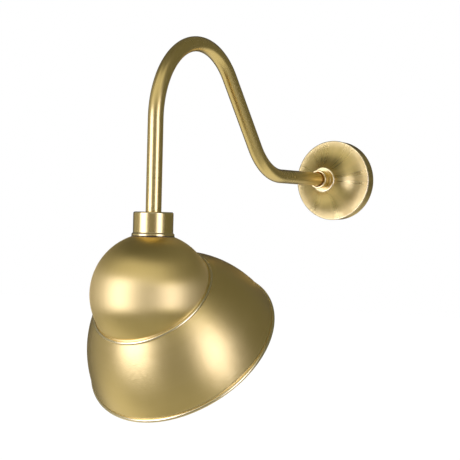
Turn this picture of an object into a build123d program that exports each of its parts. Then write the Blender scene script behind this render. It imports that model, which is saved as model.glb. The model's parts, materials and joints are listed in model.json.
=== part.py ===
from build123d import *

import os
from math import acos, asin, cos, degrees, radians, sin, sqrt

# Gooseneck wall sconce. Millimetres and degrees.
# The origin is the centre of the wall face, on the axis of the pipe where it leaves the wall.
# +Y points into the wall, +Z up, and the light stands out from the wall towards -Y.

# ----------------------------------------------------------------------------------------------
# Driving dimensions
# ----------------------------------------------------------------------------------------------

# Fits
running_clearance = 0.05  # radial, round the swivel and under the canopy's collar
thread_clearance = 0.05  # radial, between a screw or threaded sleeve and its plain hole
seat_gap = 0.05  # between faces that rub when the shade turns

# Gooseneck arm: half-inch brass pipe, bent in one plane
tube_radius = 10.67
tube_wall = 2.77
arm_tail = 5.0  # the pipe's rear end stops this far in front of the wall
arm_lower_run = 203.0  # from the wall to the start of the first bend
arm_lower_bend = 110.0
arm_rise_angle = 50.0
arm_middle_run = 127.0
arm_crown_bend = 112.5
arm_drop_run = 140.0

# Lead inside the pipe
lead_radius = 3.5
lead_tail = 1.0  # the lead ends this far in front of the wall

# Mounting plate: a pressed disc with a raised centre, on a four-inch junction box
plate_thickness = 2.0
plate_raise = 14.0  # height of the raised centre's front face
plate_raise_radius = 25.0
plate_slope_run = 6.0
box_screw_spacing = 79.4
plate_margin = 11.1  # from the box screws to the plate's edge
slot_width = 4.8
slot_length = 14.5
ground_screw_height = 40.0  # below the pipe's axis
ground_screw_radius = 2.4
ground_head_radius = 4.6
ground_head_height = 2.6
ground_slot_width = 1.0
ground_slot_depth = 1.3

# Locknuts and washer that clamp the pipe in the plate
locknut_flats = 28.6
locknut_height = 5.0
lock_washer_radius = 15.0
lock_washer_thickness = 1.0
lock_washer_teeth = 16
lock_washer_gap_depth = 1.2
lock_washer_gap_width = 1.6

# Insulating bush in the pipe's rear end
bushing_wall = 1.2
bushing_length = 9.0
bushing_flange_height = 1.6
bushing_round = 0.5

# Canopy: spun brass, trumpet face, folded rim, short side back to the wall
canopy_side_radius = 64.4
canopy_rim_depth = 20.6
canopy_rim_fold = 1.4  # radius of the folded edge
canopy_face_margin = 1.6  # from the side to where the face starts to rise
canopy_neck_radius = 20.2
canopy_neck_depth = 54.0
canopy_wall = 1.0
canopy_hem = 0.7  # the folded edge stands this far beyond the side

# Canopy collar: flange on the canopy's neck, barrel and rounded lip on the pipe
collar_flange_radius = 20.95
collar_flange_height = 3.3
collar_flange_round = 2.2
collar_barrel_wall = 3.4
collar_lip_wall = 4.3
collar_lip_height = 3.0
collar_length = 22.4  # from the canopy's neck to the lip's end
collar_spigot_wall = 3.6
collar_spigot_length = 4.0
collar_mouth_width = 1.7
collar_mouth_depth = 3.2
collar_lip_round = 1.2
collar_screw_radius = 2.0
collar_screw_place = 12.0  # in front of the canopy's neck
collar_screw_recess = 0.4
collar_screw_socket = 2.0  # across the flats of its hexagon socket
collar_screw_socket_depth = 1.7

# Fitter cup, turned brass, with a hub that runs on the pipe
pipe_insertion = 14.0  # how far the pipe reaches into the cup
fitter_radius = 27.25
fitter_height = 33.0
fitter_wall = 3.75
fitter_top_wall = 4.0
fitter_corner = 2.4
fitter_hub_wall = 4.4
fitter_flange_stand = 1.8  # of the low flange beyond the cup
fitter_flange_height = 4.9
fitter_flange_round = 1.2
fitter_screw_radius = 2.5
fitter_screw_recess = 0.6
fitter_screw_socket = 2.5
fitter_screw_socket_depth = 2.5

# Swivel stud: hollow screw in the arm's end, and the washer on its head
stud_head_wall = 4.0  # beyond the pipe
stud_head_height = 4.0
stud_shank_length = 16.0
stud_key_flats = 14.0
stud_key_depth = 2.5
stud_edge = 0.8
friction_washer_thickness = 1.0
lead_clearance = 0.8

# Shade: a hemisphere and a bell-shaped skirt on one axis, tilted towards the wall
shade_tilt = 45.0
shade_swing = 5.0  # set of the shade about the arm's end, away from the arm's plane
shade_wall = 1.2
dome_radius = 83.7
neck_flat_margin = 0.45  # of the dome's flat neck beyond the cup's flange
neck_gasket_thickness = 0.6
neck_gasket_margin = 0.5
lap_length = 6.0  # sleeve of the dome inside the skirt's neck
lap_clearance = 0.05
bead_radius = 2.3
bead_height = 3.1  # of the bead's centre below the hemisphere's edge
bead_stand = 1.8  # of the bead's centre beyond the dome
groove_height = 5.6
shoulder_flare = 8.7  # of the shoulder's outside beyond the dome
shoulder_height = 8.4
groove_fillet = 1.5
shoulder_fillet = 6.0
skirt_middle_flare = 37.2
skirt_middle_height = 50.0
rim_flare = 52.9  # of the rolled rim's centre beyond the dome
rim_height = 101.2
rim_roll = 2.1

# Clamp ring: screwed up into the cup from inside the dome
ring_sleeve_wall = 3.9
ring_sleeve_height = 11.0
ring_flange_stand = 4.55  # of the flange beyond the sleeve
ring_flange_height = 3.0
ring_notch_count = 4
ring_notch_width = 5.0
ring_notch_depth = 1.6

# Socket plate and its screws
socket_plate_margin = 2.4  # the plate stays this far inside the ring's edge
socket_plate_thickness = 1.5
plate_screw_margin = 2.6  # from the plate's edge to its screws
plate_screw_radius = 1.5
plate_screw_head_radius = 2.6
plate_screw_head_height = 1.6
plate_screw_length = 4.0
screw_slot_width = 0.8  # of every small slotted head in the shade
screw_slot_depth = 0.8

# Porcelain socket for a medium screw base
socket_radius = 21.0
socket_neck_radius = 18.0
socket_neck_height = 13.0
socket_height = 44.0
socket_cavity_radius = 15.2
socket_cavity_depth = 30.0
socket_lead_stop = 1.0  # the lead ends this far above the cavity's floor
socket_round = 2.0
shell_radius = 14.9
shell_wall = 0.5
shell_height = 26.0
shell_lift = 1.5  # above the cavity's floor
socket_screw_place = 9.5
socket_screw_radius = 1.75
socket_screw_head_radius = 3.0
socket_screw_head_height = 1.8
terminal_screw_radius = 1.6
terminal_screw_length = 5.0
terminal_head_radius = 3.2
terminal_head_height = 1.6
contact_width = 6.0
contact_thickness = 0.6
contact_foot = 4.5  # from the socket's axis to the strip's fixed end
contact_heel = 2.25
contact_toe = 1.7
contact_rise = 2.6
contact_tip = 3.4  # from the socket's axis to the strip's free end

# Lamp: frosted globe-ended bulb on a medium screw base
bulb_radius = 30.0
bulb_neck_bend = 40.0
bulb_neck_radius = 12.2
bulb_neck_length = 10.0
bulb_glass_wall = 0.9
bulb_cap_radius = 13.1
bulb_cap_wall = 0.4
bulb_cap_height = 21.0
bulb_cap_shoulder = 7.0  # radius where the cap meets the insulator
bulb_cap_slope = 5.0
bulb_insulator_height = 3.2
bulb_contact_radius = 4.6
bulb_contact_height = 1.6
bulb_seat_gap = 0.2  # between the lamp's contact and the socket's

# ----------------------------------------------------------------------------------------------
# Places worked out from the driving dimensions
# ----------------------------------------------------------------------------------------------

tube_bore = tube_radius - tube_wall
plate_radius = box_screw_spacing / 2 + plate_margin
rise = radians(arm_rise_angle)
arm_reach = (
    arm_lower_run
    + (arm_lower_bend + arm_crown_bend) * sin(rise)
    + arm_middle_run * cos(rise)
    + arm_crown_bend
)
crown_centre_z = (
    arm_lower_bend * (1 - cos(rise)) + arm_middle_run * sin(rise) - arm_crown_bend * cos(rise)
)
tube_end_z = crown_centre_z - arm_drop_run

drop_axis = Axis((0, -arm_reach, 0), (0, 0, 1))
drop_section = Plane.XZ.offset(arm_reach)  # x is the radius and y the height, at the arm's end


def drop_level(height):
    """Horizontal plane at a height, centred on the arm's end."""
    return Plane(origin=(0, -arm_reach, height), x_dir=(1, 0, 0), z_dir=(0, 0, 1))


def wall_level(distance):
    """Plane parallel to the wall, this far in front of it, facing the room."""
    return Plane.XZ.offset(distance)


def terminal_level(side, distance):
    """Plane at this distance from the socket's axis, facing out to +X or, for side -1, to -X."""
    return Plane(
        origin=(side * distance, -arm_reach, terminal_z), x_dir=(0, 0, 1), z_dir=(side, 0, 0)
    )


def arm_line(start, end_z):
    """The arm's centreline, from start in front of the wall to the height end_z under the crown."""
    with BuildLine(Plane.YZ) as line:
        lower_run = Line((-start, 0), (-arm_lower_run, 0))
        first_bend = JernArc(lower_run @ 1, lower_run % 1, arm_lower_bend, -arm_rise_angle)
        middle_run = Line(first_bend @ 1, first_bend @ 1 + first_bend % 1 * arm_middle_run)
        crown = JernArc(
            middle_run @ 1, middle_run % 1, arm_crown_bend, 90 + arm_rise_angle
        )
        Line(crown @ 1, Vector(0, -arm_reach, end_z))
    return line


fitter_flange_radius = fitter_radius + fitter_flange_stand
fitter_top_z = tube_end_z + pipe_insertion
fitter_bottom_z = fitter_top_z - fitter_height
fitter_cavity_radius = fitter_radius - fitter_wall
fitter_ceiling_z = fitter_top_z - fitter_top_wall
hub_radius = tube_radius + fitter_hub_wall
hub_bottom_z = tube_end_z + friction_washer_thickness + seat_gap
stud_head_radius = tube_radius + stud_head_wall
stud_bottom_z = tube_end_z - stud_head_height
fitter_screw_z = (fitter_ceiling_z + hub_bottom_z) / 2

# Shade
neck_flat_radius = fitter_flange_radius + neck_flat_margin
neck_seat_z = fitter_bottom_z - neck_gasket_thickness
dome_centre_z = neck_seat_z - sqrt(dome_radius**2 - neck_flat_radius**2)
dome_centre = Vector(0, -arm_reach, dome_centre_z)
tilt = radians(shade_tilt)
swing = radians(shade_swing)
mouth_direction = Vector(sin(tilt) * sin(swing), sin(tilt) * cos(swing), -cos(tilt))
level_direction = Vector(cos(swing), -sin(swing), 0)
shade_axis = Axis(dome_centre, mouth_direction)
shade_level = Plane(origin=dome_centre, x_dir=level_direction, z_dir=mouth_direction)
# x is the radius and y the distance towards the mouth
shade_section = Plane(
    origin=dome_centre, x_dir=level_direction, z_dir=level_direction.cross(mouth_direction)
)

shoulder_radius = dome_radius + shoulder_flare
skirt_middle_radius = dome_radius + skirt_middle_flare
rim_radius = dome_radius + rim_flare

# Clamp ring and socket
ring_radius = fitter_cavity_radius - thread_clearance
neck_hole_radius = ring_radius + thread_clearance
ring_bore = ring_radius - ring_sleeve_wall
ring_flange_radius = ring_radius + ring_flange_stand
socket_plate_radius = ring_flange_radius - socket_plate_margin
plate_screw_circle = socket_plate_radius - plate_screw_margin
ring_seat_z = neck_seat_z - shade_wall
ring_bottom_z = ring_seat_z - ring_flange_height
socket_plate_bottom_z = ring_bottom_z - socket_plate_thickness
socket_top_z = socket_plate_bottom_z
socket_bottom_z = socket_top_z - socket_height
cavity_floor_z = socket_bottom_z + socket_cavity_depth
contact_tip_z = cavity_floor_z - contact_rise - contact_thickness
terminal_z = socket_top_z - socket_neck_height / 2

# Lamp
bulb_contact_top_z = contact_tip_z - bulb_seat_gap
bulb_insulator_top_z = bulb_contact_top_z - bulb_contact_height
bulb_cap_top_z = bulb_insulator_top_z - bulb_insulator_height
bulb_cap_bottom_z = bulb_cap_top_z - bulb_cap_height
bulb_turn = acos((bulb_neck_radius + bulb_neck_bend) / (bulb_radius + bulb_neck_bend))
bulb_neck_top_z = bulb_cap_bottom_z + bulb_neck_length

# ----------------------------------------------------------------------------------------------
# Arm and wall end
# ----------------------------------------------------------------------------------------------

with BuildPart() as gooseneck_arm:
    arm_path = arm_line(arm_tail, tube_end_z)
    with BuildSketch(wall_level(arm_tail)):
        Circle(tube_radius)
        Circle(tube_bore, mode=Mode.SUBTRACT)
    sweep(path=arm_path.wires()[0])

with BuildPart() as arm_lead:
    lead_path = arm_line(lead_tail, stud_bottom_z)
    with BuildSketch(wall_level(lead_tail)):
        Circle(lead_radius)
    sweep(path=lead_path.wires()[0])

with BuildPart() as mounting_plate:
    with BuildSketch(Plane.XY) as plate_profile:
        with BuildLine():
            Polyline(
                (tube_radius + thread_clearance, -plate_raise),
                (plate_raise_radius, -plate_raise),
                (plate_raise_radius + plate_slope_run, -plate_thickness),
                (plate_radius, -plate_thickness),
                (plate_radius, 0),
                (plate_raise_radius + plate_slope_run - plate_thickness, 0),
                (plate_raise_radius - plate_thickness, plate_thickness - plate_raise),
                (tube_radius + thread_clearance, plate_thickness - plate_raise),
                close=True,
            )
        make_face()
    revolve(axis=Axis.Y)
    with BuildSketch(wall_level(0)):
        with Locations((box_screw_spacing / 2, 0), (-box_screw_spacing / 2, 0)):
            SlotOverall(slot_length, slot_width)
        with Locations((0, -ground_screw_height)):
            Circle(ground_screw_radius + thread_clearance)
    extrude(amount=plate_thickness, mode=Mode.SUBTRACT)

with BuildPart() as ground_screw:
    with BuildSketch(wall_level(0)):
        with Locations((0, -ground_screw_height)):
            Circle(ground_screw_radius)
    extrude(amount=plate_thickness)
    with BuildSketch(wall_level(plate_thickness)):
        with Locations((0, -ground_screw_height)):
            RegularPolygon(ground_head_radius, 6, major_radius=False)
    extrude(amount=ground_head_height)
    with BuildSketch(wall_level(plate_thickness + ground_head_height)):
        with Locations((0, -ground_screw_height)):
            Rectangle(2 * ground_head_radius, ground_slot_width)
    extrude(amount=-ground_slot_depth, mode=Mode.SUBTRACT)

with BuildPart() as rear_locknut:
    with BuildSketch(wall_level(plate_raise - plate_thickness)):
        RegularPolygon(locknut_flats / 2, 6, major_radius=False)
        Circle(tube_radius + thread_clearance, mode=Mode.SUBTRACT)
    extrude(amount=-locknut_height)

with BuildPart() as lock_washer:
    with BuildSketch(wall_level(plate_raise)):
        Circle(lock_washer_radius)
        with PolarLocations(lock_washer_radius, lock_washer_teeth):
            Rectangle(2 * lock_washer_gap_depth, lock_washer_gap_width, mode=Mode.SUBTRACT)
        Circle(tube_radius + thread_clearance, mode=Mode.SUBTRACT)
    extrude(amount=lock_washer_thickness)

with BuildPart() as front_locknut:
    with BuildSketch(wall_level(plate_raise + lock_washer_thickness)):
        RegularPolygon(locknut_flats / 2, 6, major_radius=False)
        Circle(tube_radius + thread_clearance, mode=Mode.SUBTRACT)
    extrude(amount=locknut_height)

with BuildPart() as wire_bushing:
    with BuildSketch(wall_level(arm_tail)):
        Circle(tube_bore - thread_clearance)
        Circle(tube_bore - bushing_wall, mode=Mode.SUBTRACT)
    extrude(amount=bushing_length)
    with BuildSketch(wall_level(arm_tail)):
        Circle(tube_radius)
        Circle(lead_radius + thread_clearance, mode=Mode.SUBTRACT)
    extrude(amount=-bushing_flange_height)
    fillet(wire_bushing.faces().sort_by(Axis.Y)[-1].edges(), bushing_round)

with BuildPart() as swivel_stud:
    with BuildSketch(drop_level(tube_end_z)):
        Circle(stud_head_radius)
    extrude(amount=-stud_head_height)
    with BuildSketch(drop_level(tube_end_z)):
        Circle(tube_bore - thread_clearance)
    extrude(amount=stud_shank_length)
    with BuildSketch(drop_level(stud_bottom_z)):
        RegularPolygon(stud_key_flats / 2, 6, major_radius=False)
    extrude(amount=stud_key_depth, mode=Mode.SUBTRACT)
    with BuildSketch(drop_level(stud_bottom_z)):
        Circle(lead_radius + lead_clearance)
    extrude(amount=stud_head_height + stud_shank_length, mode=Mode.SUBTRACT)
    stud_circles = swivel_stud.edges().filter_by(GeomType.CIRCLE)
    chamfer(stud_circles.group_by(Axis.Z)[-1].sort_by(SortBy.RADIUS)[-1], stud_edge)
    fillet(stud_circles.group_by(Axis.Z)[0].sort_by(SortBy.RADIUS)[-1], stud_edge)

with BuildPart() as friction_washer:
    with BuildSketch(drop_level(tube_end_z)):
        Circle(stud_head_radius)
        Circle(tube_radius + thread_clearance, mode=Mode.SUBTRACT)
    extrude(amount=friction_washer_thickness)

# ----------------------------------------------------------------------------------------------
# Canopy
# ----------------------------------------------------------------------------------------------

# The face is one arc: flat where it starts at the rim, and nearly along the pipe at the neck.
face_start_radius = canopy_side_radius - canopy_face_margin
fold_depth = canopy_rim_depth - canopy_rim_fold
face_run = face_start_radius - canopy_neck_radius
face_rise = canopy_neck_depth - canopy_rim_depth
face_arc_radius = (face_run**2 + face_rise**2) / (2 * face_rise)
face_arc_turn = degrees(asin(face_run / face_arc_radius))
collar_bore = tube_radius + running_clearance
spigot_radius = collar_bore + collar_spigot_wall

with BuildPart() as canopy:
    with BuildSketch(Plane.XY):
        with BuildLine():
            side = Line((canopy_side_radius, 0), (canopy_side_radius, -fold_depth))
            edge = Line(side @ 1, (face_start_radius, -canopy_rim_depth))
            face = JernArc(edge @ 1, (-1, 0), face_arc_radius, face_arc_turn)
            Line(face @ 1, (spigot_radius + thread_clearance, -canopy_neck_depth))
            offset(amount=canopy_wall, side=Side.RIGHT)
        make_face()
        with Locations((canopy_side_radius + canopy_hem - canopy_rim_fold, -fold_depth)):
            Circle(canopy_rim_fold)
    revolve(axis=Axis.Y)

with BuildPart() as canopy_collar:
    collar_end = canopy_neck_depth + collar_length
    barrel_radius = collar_bore + collar_barrel_wall
    lip_radius = collar_bore + collar_lip_wall
    with BuildSketch(Plane.XY):
        with BuildLine():
            Polyline(
                (collar_bore, collar_spigot_length - canopy_neck_depth),
                (spigot_radius, collar_spigot_length - canopy_neck_depth),
                (spigot_radius, -canopy_neck_depth),
                (collar_flange_radius, -canopy_neck_depth),
                (collar_flange_radius, -canopy_neck_depth - collar_flange_height),
                (barrel_radius, -canopy_neck_depth - collar_flange_height),
                (barrel_radius, collar_lip_height - collar_end),
                (lip_radius, collar_lip_height - collar_end),
                (lip_radius, -collar_end),
                (collar_bore + collar_mouth_width, -collar_end),
                (collar_bore, collar_mouth_depth - collar_end),
                close=True,
            )
        make_face()
    revolve(axis=Axis.Y)
    collar_circles = canopy_collar.edges().filter_by(GeomType.CIRCLE)
    fillet(collar_circles.group_by(SortBy.RADIUS)[-1].sort_by(Axis.Y)[0], collar_flange_round)
    fillet(collar_circles.group_by(Axis.Y)[0].sort_by(SortBy.RADIUS)[-1], collar_lip_round)
    with BuildSketch(Plane.YZ.offset(-lip_radius)):
        with Locations((-canopy_neck_depth - collar_screw_place, 0)):
            Circle(collar_screw_radius + thread_clearance)
    extrude(amount=lip_radius - collar_bore / 2, mode=Mode.SUBTRACT)

with BuildPart() as collar_screw:
    with BuildSketch(Plane.YZ.offset(-collar_bore)):
        with Locations((-canopy_neck_depth - collar_screw_place, 0)):
            Circle(collar_screw_radius)
    extrude(amount=-(collar_barrel_wall - collar_screw_recess))
    with BuildSketch(Plane.YZ.offset(-barrel_radius + collar_screw_recess)):
        with Locations((-canopy_neck_depth - collar_screw_place, 0)):
            RegularPolygon(collar_screw_socket / 2, 6, major_radius=False)
    extrude(amount=collar_screw_socket_depth, mode=Mode.SUBTRACT)

# ----------------------------------------------------------------------------------------------
# Fitter cup and swivel
# ----------------------------------------------------------------------------------------------

with BuildPart() as fitter_cup:
    hub_bore = tube_radius + running_clearance
    flange_top_z = fitter_bottom_z + fitter_flange_height
    flange_slope_z = flange_top_z - (fitter_flange_radius - fitter_radius)
    with BuildSketch(drop_section):
        with BuildLine():
            Polyline(
                (hub_bore, fitter_top_z),
                (fitter_radius, fitter_top_z),
                (fitter_radius, flange_top_z),
                (fitter_flange_radius, flange_slope_z),
                (fitter_flange_radius, fitter_bottom_z),
                (fitter_cavity_radius, fitter_bottom_z),
                (fitter_cavity_radius, fitter_ceiling_z),
                (hub_radius, fitter_ceiling_z),
                (hub_radius, hub_bottom_z),
                (hub_bore, hub_bottom_z),
                close=True,
            )
        make_face()
    revolve(axis=drop_axis)
    cup_circles = fitter_cup.edges().filter_by(GeomType.CIRCLE)
    fillet(cup_circles.group_by(Axis.Z)[-1].sort_by(SortBy.RADIUS)[-1], fitter_corner)
    cup_circles = fitter_cup.edges().filter_by(GeomType.CIRCLE)
    flange_corner = cup_circles.sort_by_distance((fitter_flange_radius, -arm_reach, flange_slope_z))[0]
    fillet(flange_corner, fitter_flange_round)
    with BuildSketch(Plane.XZ.offset(arm_reach - fitter_radius)):
        with Locations((0, fitter_screw_z)):
            Circle(fitter_screw_radius + thread_clearance)
    extrude(amount=fitter_radius - hub_bore / 2, mode=Mode.SUBTRACT)

with BuildPart() as fitter_screw:
    with BuildSketch(Plane.XZ.offset(arm_reach - hub_bore)):
        with Locations((0, fitter_screw_z)):
            Circle(fitter_screw_radius)
    extrude(amount=-(fitter_radius - hub_bore - fitter_screw_recess))
    with BuildSketch(Plane.XZ.offset(arm_reach - fitter_radius + fitter_screw_recess)):
        with Locations((0, fitter_screw_z)):
            RegularPolygon(fitter_screw_socket / 2, 6, major_radius=False)
    extrude(amount=fitter_screw_socket_depth, mode=Mode.SUBTRACT)

with BuildPart() as neck_gasket:
    with BuildSketch(drop_level(fitter_bottom_z)):
        Circle(fitter_flange_radius - neck_gasket_margin)
        Circle(fitter_cavity_radius + neck_gasket_margin, mode=Mode.SUBTRACT)
    extrude(amount=-neck_gasket_thickness)

# ----------------------------------------------------------------------------------------------
# Shade
# ----------------------------------------------------------------------------------------------

with BuildPart() as shade_dome:
    with BuildSketch(drop_section):
        with BuildLine():
            seat = Line((0, neck_seat_z), (neck_flat_radius, neck_seat_z))
            globe = ThreePointArc(
                seat @ 1, (dome_radius, dome_centre_z), (0, dome_centre_z - dome_radius)
            )
            Line(globe @ 1, seat @ 0)
        make_face()
    revolve(axis=drop_axis)
    inner_radius = dome_radius - shade_wall
    inner_flat_radius = sqrt(inner_radius**2 - (ring_seat_z - dome_centre_z) ** 2)
    with BuildSketch(drop_section):
        with BuildLine():
            seat = Line((0, ring_seat_z), (inner_flat_radius, ring_seat_z))
            globe = ThreePointArc(
                seat @ 1, (inner_radius, dome_centre_z), (0, dome_centre_z - inner_radius)
            )
            Line(globe @ 1, seat @ 0)
        make_face()
    revolve(axis=drop_axis, mode=Mode.SUBTRACT)
    split(bisect_by=shade_level, keep=Keep.BOTTOM)
    with BuildSketch(shade_level):
        Circle(dome_radius)
        Circle(inner_radius, mode=Mode.SUBTRACT)
    extrude(amount=lap_length)
    with BuildSketch(drop_level(neck_seat_z)):
        Circle(neck_hole_radius)
    extrude(amount=-2 * shade_wall, mode=Mode.SUBTRACT)

with BuildPart() as shade_skirt:
    skirt_bore = dome_radius + lap_clearance
    skirt_neck_radius = skirt_bore + shade_wall
    with BuildSketch(shade_section):
        with BuildLine() as skirt_line:
            neck = Line((skirt_neck_radius, bead_height), (skirt_neck_radius, groove_height))
            shoulder = Line(neck @ 1, (shoulder_radius, shoulder_height))
            ThreePointArc(
                shoulder @ 1, (skirt_middle_radius, skirt_middle_height), (rim_radius, rim_height)
            )
            fillet(skirt_line.vertices().sort_by_distance(neck @ 1)[0], groove_fillet)
            fillet(skirt_line.vertices().sort_by_distance(shoulder @ 1)[0], shoulder_fillet)
            offset(amount=shade_wall, side=Side.LEFT)
        make_face()
        with Locations((dome_radius + bead_stand, bead_height)):
            Circle(bead_radius)
        with Locations((rim_radius, rim_height)):
            Circle(rim_roll)
        with Locations((skirt_bore / 2, bead_height)):
            Rectangle(skirt_bore, 2 * bead_radius, mode=Mode.SUBTRACT)
    revolve(axis=shade_axis)

# ----------------------------------------------------------------------------------------------
# Clamp ring and socket
# ----------------------------------------------------------------------------------------------

with BuildPart() as clamp_ring:
    with BuildSketch(drop_level(ring_seat_z)):
        Circle(ring_radius)
        Circle(ring_bore, mode=Mode.SUBTRACT)
    extrude(amount=ring_sleeve_height)
    with BuildSketch(drop_level(ring_seat_z)):
        Circle(ring_flange_radius)
        Circle(ring_bore, mode=Mode.SUBTRACT)
        with PolarLocations(ring_flange_radius, ring_notch_count, start_angle=45):
            Rectangle(2 * ring_notch_depth, ring_notch_width, mode=Mode.SUBTRACT)
    extrude(amount=-ring_flange_height)
    with BuildSketch(drop_level(ring_bottom_z)):
        with PolarLocations(plate_screw_circle, 2):
            Circle(plate_screw_radius + thread_clearance)
    extrude(amount=ring_flange_height, mode=Mode.SUBTRACT)

with BuildPart() as socket_plate:
    with BuildSketch(drop_level(ring_bottom_z)):
        Circle(socket_plate_radius)
        Circle(lead_radius + lead_clearance, mode=Mode.SUBTRACT)
        with PolarLocations(plate_screw_circle, 2):
            Circle(plate_screw_radius + thread_clearance, mode=Mode.SUBTRACT)
        with PolarLocations(socket_screw_place, 2, start_angle=90):
            Circle(socket_screw_radius + thread_clearance, mode=Mode.SUBTRACT)
    extrude(amount=-socket_plate_thickness)

with BuildPart() as plate_screws:
    with BuildSketch(drop_level(socket_plate_bottom_z)):
        with PolarLocations(plate_screw_circle, 2):
            Circle(plate_screw_radius)
    extrude(amount=plate_screw_length)
    with BuildSketch(drop_level(socket_plate_bottom_z)):
        with PolarLocations(plate_screw_circle, 2):
            Circle(plate_screw_head_radius)
    extrude(amount=-plate_screw_head_height)
    with BuildSketch(drop_level(socket_plate_bottom_z - plate_screw_head_height)):
        with PolarLocations(plate_screw_circle, 2):
            Rectangle(2 * plate_screw_head_radius, screw_slot_width)
    extrude(amount=screw_slot_depth, mode=Mode.SUBTRACT)

with BuildPart() as socket_body:
    with BuildSketch(drop_section):
        with BuildLine():
            Polyline(
                (lead_radius + lead_clearance, socket_top_z),
                (socket_neck_radius, socket_top_z),
                (socket_neck_radius, socket_top_z - socket_neck_height),
                (socket_radius, socket_top_z - socket_neck_height - socket_round),
                (socket_radius, socket_bottom_z),
                (socket_cavity_radius, socket_bottom_z),
                (socket_cavity_radius, cavity_floor_z),
                (lead_radius + lead_clearance, cavity_floor_z),
                close=True,
            )
        make_face()
    revolve(axis=drop_axis)
    socket_circles = socket_body.edges().filter_by(GeomType.CIRCLE)
    fillet(socket_circles.group_by(Axis.Z)[0], socket_round)
    with BuildSketch(drop_level(cavity_floor_z)):
        with PolarLocations(socket_screw_place, 2, start_angle=90):
            Circle(socket_screw_radius + thread_clearance)
    extrude(amount=socket_height, mode=Mode.SUBTRACT)
    for side in (1, -1):
        with BuildSketch(terminal_level(side, socket_neck_radius - terminal_screw_length)):
            Circle(terminal_screw_radius + thread_clearance)
        extrude(amount=terminal_screw_length, mode=Mode.SUBTRACT)

with BuildPart() as socket_screws:
    with BuildSketch(drop_level(cavity_floor_z)):
        with PolarLocations(socket_screw_place, 2, start_angle=90):
            Circle(socket_screw_radius)
    extrude(amount=ring_bottom_z - cavity_floor_z)
    with BuildSketch(drop_level(cavity_floor_z)):
        with PolarLocations(socket_screw_place, 2, start_angle=90):
            Circle(socket_screw_head_radius)
    extrude(amount=-socket_screw_head_height)
    with BuildSketch(drop_level(cavity_floor_z - socket_screw_head_height)):
        with PolarLocations(socket_screw_place, 2, start_angle=90):
            Rectangle(2 * socket_screw_head_radius, screw_slot_width)
    extrude(amount=screw_slot_depth, mode=Mode.SUBTRACT)

with BuildPart() as terminal_screws:
    for side in (1, -1):
        with BuildSketch(terminal_level(side, socket_neck_radius - terminal_screw_length)):
            Circle(terminal_screw_radius)
        extrude(amount=terminal_screw_length)
        with BuildSketch(terminal_level(side, socket_neck_radius)):
            Circle(terminal_head_radius)
        extrude(amount=terminal_head_height)
        with BuildSketch(terminal_level(side, socket_neck_radius + terminal_head_height)):
            Rectangle(2 * terminal_head_radius, screw_slot_width)
        extrude(amount=-screw_slot_depth, mode=Mode.SUBTRACT)

with BuildPart() as screw_shell:
    with BuildSketch(drop_level(cavity_floor_z - shell_lift)):
        Circle(shell_radius)
        Circle(shell_radius - shell_wall, mode=Mode.SUBTRACT)
    extrude(amount=-shell_height)

with BuildPart() as centre_contact:
    with BuildSketch(Plane.YZ.shift_origin((0, -arm_reach, 0))):
        with BuildLine():
            foot = Line((-contact_foot, cavity_floor_z), (-contact_heel, cavity_floor_z))
            slope = Line(foot @ 1, (contact_toe, cavity_floor_z - contact_rise))
            Line(slope @ 1, (contact_tip, cavity_floor_z - contact_rise))
            offset(amount=contact_thickness, side=Side.RIGHT)
        make_face()
    extrude(amount=contact_width / 2, both=True)

with BuildPart() as socket_lead:
    with BuildSketch(drop_level(stud_bottom_z - seat_gap)):
        Circle(lead_radius)
    extrude(amount=cavity_floor_z + socket_lead_stop - stud_bottom_z + seat_gap)

# ----------------------------------------------------------------------------------------------
# Lamp
# ----------------------------------------------------------------------------------------------

with BuildPart() as bulb_glass:
    with BuildSketch(drop_section):
        with BuildLine():
            neck = Line((bulb_neck_radius, bulb_neck_top_z), (bulb_neck_radius, bulb_cap_bottom_z))
            bend = JernArc(neck @ 1, (0, -1), bulb_neck_bend, degrees(bulb_turn))
            JernArc(bend @ 1, bend % 1, bulb_radius, -degrees(bulb_turn) - 90)
            offset(amount=bulb_glass_wall, side=Side.RIGHT)
        make_face()
    revolve(axis=drop_axis)

with BuildPart() as bulb_cap:
    with BuildSketch(drop_section):
        with BuildLine():
            Polyline(
                (bulb_cap_radius, bulb_cap_bottom_z),
                (bulb_cap_radius, bulb_cap_top_z - bulb_cap_slope),
                (bulb_cap_shoulder, bulb_cap_top_z),
            )
            offset(amount=bulb_cap_wall, side=Side.LEFT)
        make_face()
    revolve(axis=drop_axis)

with BuildPart() as bulb_insulator:
    with BuildSketch(drop_section):
        with BuildLine():
            Polyline(
                (0, bulb_cap_top_z),
                (bulb_cap_shoulder, bulb_cap_top_z),
                (bulb_contact_radius, bulb_insulator_top_z),
                (0, bulb_insulator_top_z),
                close=True,
            )
        make_face()
    revolve(axis=drop_axis)

contact_crown_radius = (bulb_contact_radius**2 + bulb_contact_height**2) / (2 * bulb_contact_height)

with BuildPart() as bulb_contact:
    with BuildSketch(drop_section):
        with BuildLine():
            crown = JernArc(
                (0, bulb_contact_top_z),
                (1, 0),
                contact_crown_radius,
                -degrees(asin(bulb_contact_radius / contact_crown_radius)),
            )
            Polyline(crown @ 1, (0, bulb_insulator_top_z), (0, bulb_contact_top_z))
        make_face()
    revolve(axis=drop_axis)

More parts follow.
